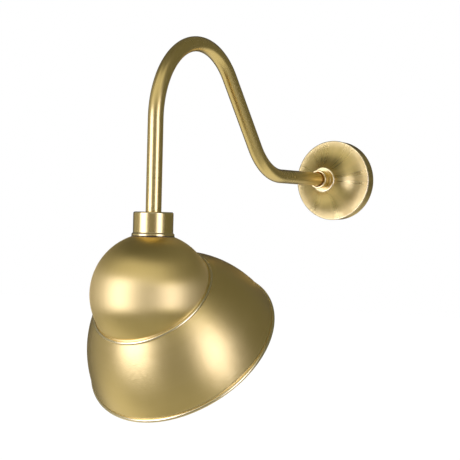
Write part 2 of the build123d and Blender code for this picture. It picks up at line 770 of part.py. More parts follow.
pieces = {
    "gooseneck_arm": gooseneck_arm,
    "arm_lead": arm_lead,
    "mounting_plate": mounting_plate,
    "ground_screw": ground_screw,
    "rear_locknut": rear_locknut,
    "lock_washer": lock_washer,
    "front_locknut": front_locknut,
    "wire_bushing": wire_bushing,
    "swivel_stud": swivel_stud,
    "friction_washer": friction_washer,
    "canopy": canopy,
    "canopy_collar": canopy_collar,
    "collar_screw": collar_screw,
    "fitter_cup": fitter_cup,
    "fitter_screw": fitter_screw,
    "neck_gasket": neck_gasket,
    "shade_dome": shade_dome,
    "shade_skirt": shade_skirt,
    "clamp_ring": clamp_ring,
    "socket_plate": socket_plate,
    "plate_screws": plate_screws,
    "socket_body": socket_body,
    "socket_screws": socket_screws,
    "terminal_screws": terminal_screws,
    "screw_shell": screw_shell,
    "centre_contact": centre_contact,
    "socket_lead": socket_lead,
    "bulb_glass": bulb_glass,
    "bulb_cap": bulb_cap,
    "bulb_insulator": bulb_insulator,
    "bulb_contact": bulb_contact,
}

os.makedirs("parts", exist_ok=True)
for name, piece in pieces.items():
    piece.part.label = name
    export_step(piece.part, f"parts/{name}.step")
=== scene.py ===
"""Looks of the gooseneck wall sconce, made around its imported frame.

Every form is a fine surface worked out with numpy: a closed profile that is turned about an axis,
or a ring that is carried along the arm's centreline. Each surface has a "grain" attribute, in
which the brush lines of its finish run, and a "lean" attribute, along which their sides slope.
Lengths are in metres, and places are read from the frame.
"""

from __future__ import annotations

import json
import logging
import math
from dataclasses import dataclass
from enum import Enum
from typing import Callable, Sequence

import bmesh
import bpy
import numpy as np
from mathutils import Matrix, Vector

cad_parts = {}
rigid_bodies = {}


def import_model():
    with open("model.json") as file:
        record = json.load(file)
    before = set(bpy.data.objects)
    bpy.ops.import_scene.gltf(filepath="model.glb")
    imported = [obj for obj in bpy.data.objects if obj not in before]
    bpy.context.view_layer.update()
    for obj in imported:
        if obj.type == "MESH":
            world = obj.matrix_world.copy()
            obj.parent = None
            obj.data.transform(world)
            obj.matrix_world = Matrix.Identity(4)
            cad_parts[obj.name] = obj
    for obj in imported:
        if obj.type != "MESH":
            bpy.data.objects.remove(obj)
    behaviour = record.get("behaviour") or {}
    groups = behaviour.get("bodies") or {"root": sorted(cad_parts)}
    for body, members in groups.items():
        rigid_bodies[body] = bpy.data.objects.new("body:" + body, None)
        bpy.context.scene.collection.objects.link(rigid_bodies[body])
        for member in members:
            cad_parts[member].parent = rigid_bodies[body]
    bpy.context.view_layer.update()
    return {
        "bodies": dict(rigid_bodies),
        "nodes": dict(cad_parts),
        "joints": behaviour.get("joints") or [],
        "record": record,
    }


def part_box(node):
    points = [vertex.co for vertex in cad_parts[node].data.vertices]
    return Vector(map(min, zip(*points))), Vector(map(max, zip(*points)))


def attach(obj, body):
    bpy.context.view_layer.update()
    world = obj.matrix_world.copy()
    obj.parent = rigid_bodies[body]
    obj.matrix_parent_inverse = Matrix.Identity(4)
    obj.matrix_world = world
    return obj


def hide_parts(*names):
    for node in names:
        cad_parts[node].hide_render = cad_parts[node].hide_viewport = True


Array = np.ndarray
Relief = Callable[[Array, Array], Array]
Spot = Sequence[float]
Triple = tuple[float, float, float]

MM = 0.001
TURN = 2 * math.pi
SAME_SPOT = 0.0001 * MM
X_AXIS, Y_AXIS, Z_AXIS = np.eye(3)
LOG = logging.getLogger("sconce")


class Body(Enum):
    """Bodies of the frame that pieces ride on."""

    ARM = "wall_arm"
    CANOPY = "canopy_set"
    SHADE = "shade"
    LAMP = "lamp"


# Profiles, grids and meshes.


def unit(vectors: Array) -> Array:
    """Vectors made one long."""
    return vectors / np.maximum(np.linalg.norm(vectors, axis=-1, keepdims=True), 1e-12)


def circle(centre: Spot, radius: float, angles: Array) -> Array:
    """Points on a circle: centre + radius (cos a, sin a)."""
    return np.asarray(centre) + radius * np.stack([np.cos(angles), np.sin(angles)], 1)


def angle_at(centre: Spot, point: Spot) -> float:
    """Angle of a point, seen from a centre."""
    return math.atan2(point[1] - centre[1], point[0] - centre[0])


def circle_through(*spots: Spot) -> tuple[Array, float]:
    """Circle through three points, whose centre lies on both bisectors.

    Args:
        spots: The three points.

    Returns:
        Centre and radius.
    """
    first, *others = np.array(spots, float)
    legs = np.array(others) - first
    squares = (np.array(others) ** 2).sum(1) - first @ first
    centre = np.linalg.solve(2 * legs, squares)
    return centre, float(np.linalg.norm(centre - first))


def crossings(centre_a: Spot, radius_a: float, centre_b: Spot, radius_b: float) -> Array:
    """Both points where two circles cross.

    With d between the centres, they lie (ra^2 - rb^2 + d^2) / 2d along the line from a to b, and
    the rest of ra off that line, on its left and on its right.

    Args:
        centre_a: Centre of the first circle.
        radius_a: Its radius.
        centre_b: Centre of the second circle.
        radius_b: Its radius.

    Returns:
        The points as rows of radius and height.
    """
    first, second = np.asarray(centre_a, float), np.asarray(centre_b, float)
    apart = float(np.linalg.norm(second - first))
    along = (radius_a**2 - radius_b**2 + apart**2) / (2 * apart)
    aside = math.sqrt(max(radius_a**2 - along**2, 0.0))
    line = (second - first) / apart
    return first + along * line + np.outer((aside, -aside), (-line[1], line[0]))


def round_corner(before: Spot, here: Spot, after: Spot, radius: float, steps: int) -> Array:
    """Arc of a radius that is tangent to both runs at a corner.

    With 2h between the runs, the arc leaves them r / tan(h) from the corner, and its centre lies
    r / sin(h) from it on the bisector.

    Args:
        before: A point on the run that ends at the corner.
        here: The corner.
        after: A point on the run that starts there.
        radius: Radius of the arc, or 0 for a sharp corner.
        steps: Number of chords.

    Returns:
        The arc's points.
    """
    before, here, after = (np.asarray(point, float) for point in (before, here, after))
    if radius <= 0:
        return here[None]
    back, ahead = unit(before - here), unit(after - here)
    half = math.acos(float(np.clip(back @ ahead, -1, 1))) / 2
    leg = radius / math.tan(half)
    centre = here + unit(back + ahead) * radius / math.sin(half)
    start = angle_at(centre, here + back * leg)
    end = angle_at(centre, here + ahead * leg)
    sweep = (end - start + math.pi) % TURN - math.pi
    return circle(centre, radius, np.linspace(start, start + sweep, steps + 1))


class Pen:
    """Draws a closed outline as radius and height, run by run."""

    margin = 0.3 * MM
    longest_step = 5 * MM

    def __init__(self) -> None:
        """Start an empty outline."""
        self.points: list[Array] = []

    def to(self, radius: float, height: float) -> None:
        """Draw a straight run to a point.

        The run is split so that a short piece lies at each end, which keeps the shading of the
        long piece true where it meets a rounded corner.

        Args:
            radius: Distance of the point from the axis.
            height: Place of the point along the axis.
        """
        end = np.array([radius, height], float)
        if self.points:
            start = self.points[-1]
            length = float(np.linalg.norm(end - start))
            if length > 4 * self.margin:
                count = math.ceil(length / self.longest_step) + 1
                inner = np.linspace(self.margin, length - self.margin, count)[:, None]
                self.points += list(start + (end - start) * inner / length)
        self.points.append(end)

    def follow(self, points: Array) -> None:
        """Draw a straight run to the first of some points, and then through the others."""
        self.to(*points[0])
        self.points += list(points[1:])

    def arc(self, centre: Spot, radius: float, start: float, end: float, steps: int) -> None:
        """Draw an arc in some steps, whose angles in radians start at the outward direction."""
        self.follow(circle(centre, radius, np.linspace(start, end, steps + 1)))

    def outline(self) -> Array:
        """Give the outline without repeated points."""
        points = np.array(self.points)
        return points[np.linalg.norm(points - np.roll(points, 1, axis=0), axis=1) > SAME_SPOT]


def rounded(corners: Sequence[Triple], steps: int = 5) -> Array:
    """Closed outline through corners, each rounded by its own radius.

    Args:
        corners: Radius, height and rounding radius of each corner, in order.
        steps: Chords of each rounding.

    Returns:
        The outline's points.
    """
    pen = Pen()
    spots = np.array([corner[:2] for corner in corners], float)
    befores, afters = np.roll(spots, 1, axis=0), np.roll(spots, -1, axis=0)
    for before, here, after, corner in zip(befores, spots, afters, corners):
        pen.follow(round_corner(before, here, after, corner[2], steps))
    pen.to(*pen.points[0])
    return pen.outline()


@dataclass
class Grid:
    """Points over rows and columns, closed both ways unless it says otherwise.

    The grain says where a point lies among the brush lines, and the lean is the direction across
    those lines, as long as the brushing is strong. Without one it goes from row to row.
    """

    points: Array
    grain: Array
    lean: Array | None = None
    closed_rows: bool = True

    def across_rows(self) -> Array:
        """Unit direction from one row to the next."""
        return unit(np.roll(self.points, -1, axis=0) - np.roll(self.points, 1, axis=0))

    def faces(self) -> Array:
        """Number the corners of each face so that the surface looks outwards.

        Returns:
            Four vertex numbers for each face.
        """
        rows, columns = self.points.shape[:2]
        row = np.arange(rows if self.closed_rows else rows - 1)[:, None]
        column = np.arange(columns)[None, :]
        next_row, next_column = (row + 1) % rows, (column + 1) % columns
        faces = np.stack([
            row * columns + column,
            row * columns + next_column,
            next_row * columns + next_column,
            next_row * columns + column,
        ], -1).reshape(-1, 4)
        return faces[:, ::-1] if self.signed_volume(faces) < 0 else faces

    def signed_volume(self, faces: Array) -> float:
        """Volume inside the faces: the sum of a . (b x c) / 6 over their triangles.

        Args:
            faces: Four vertex numbers for each face.

        Returns:
            The volume, below 0 where the faces look inwards.
        """
        flat = self.points.reshape(-1, 3)
        a, b, c, d = np.moveaxis((flat - flat.mean(0))[faces], 1, 0)
        return float(np.einsum("ij,ij->", a, np.cross(b, c) + np.cross(c, d)) / 6)


@dataclass(frozen=True)
class Spindle:
    """The axis that a piece is turned about: where it starts, its direction and its zero angle."""

    origin: Array
    axis: Array
    across: Array

    line_pitch = 0.04 * MM
    line_wraps = 24.0
    polished_round = 4 * MM
    brushed_round = 12 * MM

    @classmethod
    def upright(cls, y: float) -> Spindle:
        """Axis that points up, this far along Y."""
        return cls(Y_AXIS * y, Z_AXIS, X_AXIS)

    @property
    def side(self) -> Array:
        """Direction at a quarter turn."""
        return np.cross(self.axis, self.across)

    def place(self, radius: Array, height: Array, angle: Array) -> Array:
        """Point at a radius, height and angle: origin + r (cos a, sin a) + h axis."""
        spoke = np.cos(angle)[..., None] * self.across + np.sin(angle)[..., None] * self.side
        return self.origin + radius[..., None] * spoke + height[..., None] * self.axis

    def grain(self, run: Array, angle: Array) -> Array:
        """Grain of a turned surface: it changes fast along the outline and slowly round it."""
        wraps = self.line_wraps
        return np.stack([run / self.line_pitch, np.cos(angle) * wraps, np.sin(angle) * wraps], -1)

    def turn(self, outline: Array, columns: int, relief: Relief | None = None) -> Grid:
        """Turn an outline about the axis.

        The surface is place(r(u) - relief, h(u), a), with u along the outline and a round it.

        Args:
            outline: Closed outline of radius and height.
            columns: Steps in a full turn.
            relief: How far the surface lies below the outline, from height and angle.

        Returns:
            The grid.
        """
        angle = np.arange(columns)[None, :] * TURN / columns
        run = np.r_[0, np.cumsum(np.linalg.norm(np.diff(outline, axis=0), axis=1))][:, None]
        radius, height, run, angle = np.broadcast_arrays(
            outline[:, :1], outline[:, 1:], run, angle
        )
        sunk = relief(height, angle) if relief else 0.0
        points = self.place(np.maximum(radius - sunk, 0.0), height, angle)
        grid = Grid(points, self.grain(run, angle))
        grid.lean = grid.across_rows() * self.brushing(outline)[:, None, None]
        return grid

    def brushing(self, outline: Array) -> Array:
        """Share of the full brushing at each point: the tight rounds are polished instead.

        The outline's turning radius is the mean length of the two runs at a point over the angle
        between them, and the share rises with it from 0 to 1.

        Args:
            outline: Closed outline of radius and height.

        Returns:
            One share for each point.
        """
        ahead = np.roll(outline, -1, axis=0) - outline
        behind = outline - np.roll(outline, 1, axis=0)
        cross = behind[:, 0] * ahead[:, 1] - behind[:, 1] * ahead[:, 0]
        turn = np.abs(np.arctan2(cross, (behind * ahead).sum(1)))
        reach = (np.linalg.norm(ahead, axis=1) + np.linalg.norm(behind, axis=1)) / 2
        wide = self.brushed_round - self.polished_round
        return np.clip((reach / np.maximum(turn, 1e-6) - self.polished_round) / wide, 0, 1)


def thread(low: float, high: float, pitch: float, depth: float) -> Relief:
    """Relief of a rounded screw thread.

    The depth times (1 - cos(2 pi h / pitch - a)) / 2, faded out over half a pitch at each end.

    Args:
        low: Height where the thread starts.
        high: Height where it ends.
        pitch: Distance between two turns.
        depth: Depth of the groove.

    Returns:
        A function of height and angle.
    """

    def sunk(height: Array, angle: Array) -> Array:
        """Depth of the groove at a height and angle."""
        ends = [np.clip(2 * way / pitch, 0, 1) for way in (height - low, high - height)]
        return depth * ends[0] * ends[1] * (1 - np.cos(TURN * height / pitch - angle)) / 2

    return sunk


def stand(name: str, data: bpy.types.ID) -> bpy.types.Object:
    """Put an object with this data in the scene.

    Args:
        name: Its name.
        data: Its mesh, camera or light.

    Returns:
        The object.
    """
    thing = bpy.data.objects.new(name, data)
    bpy.context.scene.collection.objects.link(thing)
    return thing


def matrix_of(*columns: Spot) -> Matrix:
    """Matrix whose columns are three directions and a place."""
    return Matrix(np.vstack([np.column_stack(columns), (0, 0, 0, 1)]).tolist())


def close_poles(mesh: bpy.types.Mesh) -> None:
    """Merge the points that a row on an axis repeats.

    Args:
        mesh: The mesh to mend.
    """
    work = bmesh.new()
    work.from_mesh(mesh)
    bmesh.ops.remove_doubles(work, verts=work.verts, dist=SAME_SPOT)
    work.to_mesh(mesh)
    work.free()


class Bench:
    """Makes pieces from grids and hands them to the frame, whose own nodes it dresses."""

    sharp_angle = math.radians(32)
    screw_clearance = 0.05 * MM
    drill_sides = 48
    drill_start = 2 * MM
    drill_exit = 0.5 * MM

    def __init__(self, frame: dict) -> None:
        """Keep the frame's nodes."""
        self.nodes = frame["nodes"]

    def dress(self, finish: bpy.types.Material, *nodes: str) -> None:
        """Give nodes of the frame a finish.

        Args:
            finish: The finish.
            nodes: Their names.
        """
        for node in nodes:
            mesh = self.nodes[node].data
            mesh.materials.clear()
            mesh.materials.append(finish)

    def smooth(self, mesh: bpy.types.Mesh) -> None:
        """Shade a mesh smooth but for its sharp edges."""
        mesh.shade_smooth()
        mesh.set_sharp_from_angle(angle=self.sharp_angle)

    def piece(self, name: str, grid: Grid, finish: bpy.types.Material, body: Body, slot: str,
              *stands_for: str) -> bpy.types.Object:
        """Make one piece.

        Args:
            name: Name of the piece.
            grid: Its surface.
            finish: Its material.
            body: The body that it rides on.
            slot: The record's material slot, which is not used.
            stands_for: Nodes of the frame that it replaces.

        Returns:
            The new object, which sits at the origin.
        """
        mesh = bpy.data.meshes.new(name)
        mesh.from_pydata(grid.points.reshape(-1, 3).tolist(), [], grid.faces().tolist())
        lean = grid.across_rows() if grid.lean is None else grid.lean
        for attribute, values in (("grain", grid.grain), ("lean", lean)):
            layer = mesh.attributes.new(attribute, "FLOAT_VECTOR", "POINT")
            layer.data.foreach_set("vector", values.astype(np.float32).ravel())
        close_poles(mesh)
        self.smooth(mesh)
        mesh.materials.append(finish)
        piece = stand(name, mesh)
        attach(piece, body.value)
        if stands_for:
            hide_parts(*stands_for)
        LOG.info("%s: %d faces on %s", name, len(mesh.polygons), body.value)
        return piece

    def screw_hole(self, piece: bpy.types.Object, screw: str, out: Spot) -> None:
        """Cut the hole of a set screw, so that the screw's end shows.

        Args:
            piece: The piece that the screw is in.
            screw: The screw's node in the frame.
            out: Unit vector along the screw, out of the piece.
        """
        low, high = (np.array(corner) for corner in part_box(screw))
        way, half = np.array(out, float), (high - low) / 2
        reach = abs(half @ way)
        radius = (half.sum() - reach) / 2 + self.screw_clearance
        middle = (low + high + way * (self.drill_start - self.drill_exit)) / 2
        turn = Vector(way).to_track_quat("Z", "Y").to_matrix().to_4x4()
        mesh = bpy.data.meshes.new("drill")
        work = bmesh.new()
        bmesh.ops.create_cone(work, cap_ends=True, segments=self.drill_sides, radius1=radius,
                              radius2=radius, depth=2 * reach + self.drill_start + self.drill_exit,
                              matrix=Matrix.Translation(middle) @ turn)
        work.to_mesh(mesh)
        work.free()
        solid = piece.data
        cut = piece.modifiers.new("hole", "BOOLEAN")
        cut.operation, cut.solver, cut.object = "DIFFERENCE", "EXACT", stand("drill", mesh)
        graph = bpy.context.evaluated_depsgraph_get()
        piece.data = bpy.data.meshes.new_from_object(piece.evaluated_get(graph), depsgraph=graph)
        piece.modifiers.remove(cut)
        bpy.data.meshes.remove(solid)
        bpy.data.meshes.remove(mesh)
        piece.data.name = piece.name
        self.smooth(piece.data)
        LOG.info("%s: hole of %s, %d faces", piece.name, screw, len(piece.data.polygons))


# Shader maths.


class Value:
    """A number in a node tree that takes part in Python arithmetic."""

    def __init__(self, shop: Workshop, socket: bpy.types.NodeSocket) -> None:
        """Wrap a socket of a workshop's tree."""
        self.shop = shop
        self.socket = socket

    def maths(self, operation: str, *others: Value | float, flip: bool = False) -> Value:
        """Join this value and others with a Math node, in reverse where flip is set."""
        terms = [self, *others][:: -1 if flip else 1]
        return self.shop.value("ShaderNodeMath", dict(enumerate(terms)), operation=operation)

    def __add__(self, other: Value | float) -> Value:
        """Sum."""
        return self.maths("ADD", other)

    __radd__ = __add__

    def __mul__(self, other: Value | float) -> Value:
        """Product."""
        return self.maths("MULTIPLY", other)

    __rmul__ = __mul__

    def __sub__(self, other: Value | float) -> Value:
        """Difference."""
        return self.maths("SUBTRACT", other)

    def __rsub__(self, other: Value | float) -> Value:
        """Difference, the other way round."""
        return self.maths("SUBTRACT", other, flip=True)

    def clamped(self) -> Value:
        """Limit to the range from 0 to 1."""
        return self.maths("MINIMUM", 1.0).maths("MAXIMUM", 0.0)

    def step(self, low: float, high: float) -> Value:
        """Smooth step from 0 at low to 1 at high."""
        inputs = {"Value": self, "From Min": low, "From Max": high}
        return self.shop.value("ShaderNodeMapRange", inputs, interpolation_type="SMOOTHSTEP")

    def within(self, centre: float, half: float, soft: float) -> Value:
        """1 near a centre, falling softly to 0 about its half width."""
        return 1.0 - (self - centre).maths("ABSOLUTE").step(half - soft, half + soft)


class Workshop:
    """One material or world and its node tree."""

    def __init__(self, owner: bpy.types.ID) -> None:
        """Empty the owner's tree and add its output.

        Args:
            owner: The material or world.
        """
        owner.use_nodes = True
        self.owner, self.tree = owner, owner.node_tree
        self.tree.nodes.clear()
        kind = "World" if isinstance(owner, bpy.types.World) else "Material"
        self.output = self.node(f"ShaderNodeOutput{kind}")

    @classmethod
    def material(cls, name: str) -> Workshop:
        """Start a new material."""
        return cls(bpy.data.materials.new(name))

    def node(self, kind: str, inputs: dict | None = None, **settings: object) -> bpy.types.Node:
        """Add any node.

        Args:
            kind: Its type.
            inputs: Value or link of each input, by name or number.
            settings: Its properties, which are set first.

        Returns:
            The node.
        """
        node = self.tree.nodes.new(kind)
        for key, value in settings.items():
            setattr(node, key, value)
        for key, value in (inputs or {}).items():
            self.feed(node.inputs[key], value)
        return node

    def feed(self, socket: bpy.types.NodeSocket, value: object) -> None:
        """Link a value or socket to an input, or set a constant on it.

        Args:
            socket: The input.
            value: What goes in.
        """
        if isinstance(value, Value):
            value = value.socket
        if isinstance(value, bpy.types.NodeSocket):
            self.tree.links.new(value, socket)
        elif socket.type == "RGBA" and len(value) == 3:
            socket.default_value = (*value, 1.0)
        else:
            socket.default_value = value

    def value(self, kind: str, inputs: dict, output: int | str = 0, **settings: object) -> Value:
        """Add any node, and wrap one of its outputs."""
        return Value(self, self.node(kind, inputs, **settings).outputs[output])

    def vector(self, operation: str, inputs: dict) -> bpy.types.NodeSocket:
        """Add a Vector Math node that gives a vector."""
        return self.node("ShaderNodeVectorMath", inputs, operation=operation).outputs[0]

    def attribute(self, name: str) -> bpy.types.NodeSocket:
        """Vector attribute of the mesh."""
        return self.node("ShaderNodeAttribute", attribute_name=name).outputs["Vector"]

    def place(self) -> bpy.types.NodeSocket:
        """Object coordinates, in metres."""
        return self.node("ShaderNodeTexCoord").outputs["Object"]

    def noise(self, vector: bpy.types.NodeSocket, scale: float, detail: float = 2.0,
              rough: float = 0.5) -> Value:
        """Noise around 0.5 over a vector."""
        inputs = {"Vector": vector, "Scale": scale, "Detail": detail, "Roughness": rough}
        return self.value("ShaderNodeTexNoise", inputs, "Fac")

    def mix(self, share: Value | float, first: object, second: object) -> bpy.types.NodeSocket:
        """Mix two colours."""
        inputs = {0: share, 6: first, 7: second}
        return self.node("ShaderNodeMix", inputs, data_type="RGBA").outputs[2]

    def bump(self, height: Value, depth: float) -> bpy.types.NodeSocket:
        """Normal of a surface with this relief."""
        inputs = {"Strength": 1.0, "Distance": depth, "Height": height}
        return self.node("ShaderNodeBump", inputs).outputs[0]

    def leant(self, slope: Value) -> bpy.types.NodeSocket:
        """Normal of a brushed surface: n + slope times the lean across its lines, made a unit.

        Args:
            slope: Slope of the lines' sides.

        Returns:
            The normal.
        """
        lean = self.node("ShaderNodeVectorTransform", {0: self.attribute("lean")},
                         vector_type="VECTOR", convert_from="OBJECT", convert_to="WORLD")
        tipped = self.vector("SCALE", {0: lean.outputs[0], "Scale": slope})
        normal = self.node("ShaderNodeNewGeometry").outputs["Normal"]
        return self.vector("NORMALIZE", {0: self.vector("ADD", {0: normal, 1: tipped})})

    def seen(self) -> Value:
        """Tell the rays that see a surface from those that light it.

        Returns:
            1 for camera, glossy and transmission rays, and 0 for the others.
        """
        path = self.node("ShaderNodeLightPath").outputs
        camera, glossy, through = (
            Value(self, path[f"Is {ray} Ray"]) for ray in ("Camera", "Glossy", "Transmission"))
        return (camera + glossy + through).clamped()

    def glow(self, colour: object, strength: float = 1.0) -> bpy.types.NodeSocket:
        """Shader of a glow."""
        return self.node("ShaderNodeEmission", {"Color": colour, "Strength": strength}).outputs[0]

    def either(self, share: Value, first: bpy.types.NodeSocket,
               second: bpy.types.NodeSocket) -> bpy.types.NodeSocket:
        """Mix two shaders."""
        return self.node("ShaderNodeMixShader", {0: share, 1: first, 2: second}).outputs[0]

    def close(self, shader: bpy.types.NodeSocket) -> bpy.types.ID:
        """Link a shader to the output, and give the owner."""
        self.tree.links.new(shader, self.output.inputs["Surface"])
        return self.owner

    def principled(self, inputs: dict) -> bpy.types.Material:
        """Close the material with a Principled shader."""
        return self.close(self.node("ShaderNodeBsdfPrincipled", inputs).outputs[0])


# Finishes.


@dataclass(frozen=True)
class Brass:
    """Raw brass with a brushed satin finish whose lines follow the grain attribute.

    The tight rounds, where the lean is short, are polished, and their colour is rubbed pale and
    also lightened as a painted highlight. The broad streaks along the outline, as a spun face gets
    them from hand brushing, change the roughness, and the colour too as painted reflections.
    """

    name: str
    roughness: float
    line_slope: float = 0.2
    stretch: float = 0.0
    fans_and_sheen: float = 0.0
    pale: Triple = (0.88, 0.667, 0.246)
    deep: Triple = (0.83, 0.617, 0.212)
    worn_and_highlight: Triple = (0.96, 0.82, 0.47)

    band_scale = 0.007
    cloud_scale = 7.0
    fan_scale = 0.12
    fan_painted_sheen = 3.0
    unevenness = 0.05
    wear_and_highlight = 0.6
    polish = 0.35

    def make(self) -> bpy.types.Material:
        """Build the material.

        Returns:
            The material.
        """
        shop = Workshop.material(self.name)
        grain = shop.attribute("grain")
        lines = shop.noise(grain, 1.0)
        bands = shop.noise(grain, self.band_scale, detail=3.0, rough=0.6)
        clouds = shop.noise(shop.place(), self.cloud_scale, detail=3.0, rough=0.55)
        spokes = shop.vector("MULTIPLY", {0: grain, 1: (0.0, self.fan_scale, self.fan_scale)})
        fan_streaks_and_sheen = (shop.noise(spokes, 1.0, detail=3.0, rough=0.6) - 0.5) * self.fans_and_sheen
        brushed = shop.value("ShaderNodeVectorMath", {0: shop.attribute("lean")}, "Value",
                             operation="LENGTH")
        tone = (clouds * 0.8 + lines * 0.4 + bands * 0.6 - 0.4).clamped()
        # Painted reflection: the broad streaks also lighten and darken the colour, as brushed
        # metal reflects light and dark sectors.
        tone = (tone + fan_streaks_and_sheen * self.fan_painted_sheen).clamped()
        rough = (bands + clouds - 1.0) * self.unevenness + fan_streaks_and_sheen + self.roughness
        colour = shop.mix(tone, self.deep, self.pale)
        # The tight rounds are painted paler: partly rubbed pale, partly a painted highlight on the
        # bead and rim.
        return shop.principled({
            "Base Color": shop.mix((1.0 - brushed) * self.wear_and_highlight, colour, self.worn_and_highlight),
            "Metallic": 1.0,
            "Roughness": rough * (brushed * self.polish + (1.0 - self.polish)),
            "Anisotropic": self.stretch,
            "Normal": shop.leant((lines - 0.5) * self.line_slope),
        })


@dataclass(frozen=True)
class Plain:
    """Finish of a small piece with a soft mottle: moulded, pressed or fired, or plain metal."""

    name: str
    colour: Triple
    shade: Triple
    roughness: float
    scale: float = 120.0
    coat: float = 0.0
    subsurface: float = 0.0
    metallic: float = 0.0
    speckle: float = 0.6
    cloud_size: float = 10.0

    relief = 0.01 * MM
    unevenness = 0.2

    @classmethod
    def metal(cls, name: str, colour: Triple, shade: Triple, roughness: float,
              scale: float = 180.0) -> Plain:
        """Metal, whose mottle is stronger."""
        return cls(name, colour, shade, roughness, scale, metallic=1.0, speckle=1.0,
                   cloud_size=8.0)

    def make(self) -> bpy.types.Material:
        """Build the material.

        Returns:
            The material.
        """
        shop = Workshop.material(self.name)
        place = shop.place()
        mottle = shop.noise(place, self.scale, detail=3.0)
        cloud = shop.noise(place, self.scale / self.cloud_size)
        tone = (mottle * self.speckle + cloud - self.speckle / 2).clamped()
        return shop.principled({
            "Base Color": shop.mix(tone, self.shade, self.colour),
            "Metallic": self.metallic,
            "Roughness": (mottle - 0.5) * (self.unevenness * self.speckle) + self.roughness,
            "Coat Weight": self.coat,
            "Coat Roughness": 0.08,
            "Subsurface Weight": self.subsurface,
            "Subsurface Radius": (0.004, 0.004, 0.003),
            "Subsurface Scale": 1.0,
            "Normal": shop.bump(mottle, self.relief),
        })


@dataclass(frozen=True)
class Sleeve:
    """Woven heat sleeve, whose yarns cross on the grain attribute."""

    name: str
    colour: Triple = (0.80, 0.78, 0.70)
    shade: Triple = (0.50, 0.47, 0.38)

    yarn_height = 0.15 * MM

    def make(self) -> bpy.types.Material:
        """Build the material, whose weave is sin(u + v) sin(u - v).

        Returns:
            The material.
        """
        shop = Workshop.material(self.name)
        parts = shop.node("ShaderNodeSeparateXYZ", {0: shop.attribute("grain")}).outputs
        along, round_it = Value(shop, parts[0]), Value(shop, parts[1])
        weave = (along + round_it).maths("SINE") * (along - round_it).maths("SINE") * 0.5 + 0.5
        return shop.principled({
            "Base Color": shop.mix(weave, self.shade, self.colour),
            "Roughness": weave * -0.1 + 0.9,
            "Normal": shop.bump(weave, self.yarn_height),
        })


class Finishes:
    """Every finish of the light, made once."""

    def __init__(self) -> None:
        """Make the materials."""
        self.dome = Brass("dome_brass", 0.37, stretch=0.85).make()
        self.skirt = Brass("skirt_brass", 0.35, line_slope=1.2).make()
        self.canopy = Brass("canopy_brass", 0.34, line_slope=1.1, fans_and_sheen=0.8,
                            deep=(0.68, 0.51, 0.175)).make()
        self.drawn = Brass("drawn_brass", 0.28, line_slope=0.1).make()
        self.turned = Brass("turned_brass", 0.25, line_slope=0.1).make()
        metal = Plain.metal
        self.plain_brass = metal("cut_brass", (0.84, 0.64, 0.27), (0.72, 0.52, 0.2), 0.25).make()
        self.contact = metal("contact_brass", (0.86, 0.70, 0.34), (0.76, 0.58, 0.25), 0.2).make()
        self.zinc = metal("zinc_plate", (0.72, 0.73, 0.74), (0.55, 0.57, 0.60), 0.34, 90.0).make()
        self.cap = metal("nickel_cap", (0.80, 0.79, 0.76), (0.70, 0.69, 0.66), 0.25).make()
        self.green = metal("green_plating", (0.05, 0.30, 0.10), (0.03, 0.20, 0.07), 0.35).make()
        self.porcelain = Plain("glazed_porcelain", (0.84, 0.82, 0.76), (0.78, 0.76, 0.69), 0.3,
                               coat=0.8).make()
        self.frosted = Plain("frosted_glass", (0.90, 0.90, 0.88), (0.86, 0.86, 0.84), 0.42,
                             scale=400.0, coat=0.15, subsurface=0.3).make()
        self.black_glass = Plain("black_glass", (0.02, 0.02, 0.03), (0.01, 0.01, 0.015), 0.15,
                                 coat=0.5).make()
        self.black = Plain("black_moulding", (0.03, 0.03, 0.03), (0.02, 0.02, 0.02), 0.5).make()
        self.fibre = Plain("pressed_fibre", (0.22, 0.08, 0.04), (0.15, 0.05, 0.03), 0.8).make()
        self.rubber = Plain("gasket_rubber", (0.035, 0.025, 0.018), (0.02, 0.014, 0.01),
                            0.7).make()
        self.white_wire = Plain("white_wire", (0.8, 0.8, 0.78), (0.7, 0.7, 0.68), 0.45).make()
        self.black_wire = Plain("black_wire", (0.03, 0.03, 0.03), (0.02, 0.02, 0.02), 0.4).make()
        self.sleeve = Sleeve("woven_sleeve").make()


# The light's sub-assemblies.


@dataclass
class SubAssembly:
    """Pieces that ride on one body, with the bench and the finishes that they are made with."""

    bench: Bench
    finishes: Finishes

    body = Body.ARM

    def turned(self, name: str, spindle: Spindle, outline: Array, columns: int,
               finish: bpy.types.Material, slot: str, *stands_for: str,
               relief: Relief | None = None) -> bpy.types.Object:
        """Turn an outline about a spindle, and make the piece of it on the body."""
        grid = spindle.turn(outline, columns, relief)
        return self.bench.piece(name, grid, finish, self.body, slot, *stands_for)


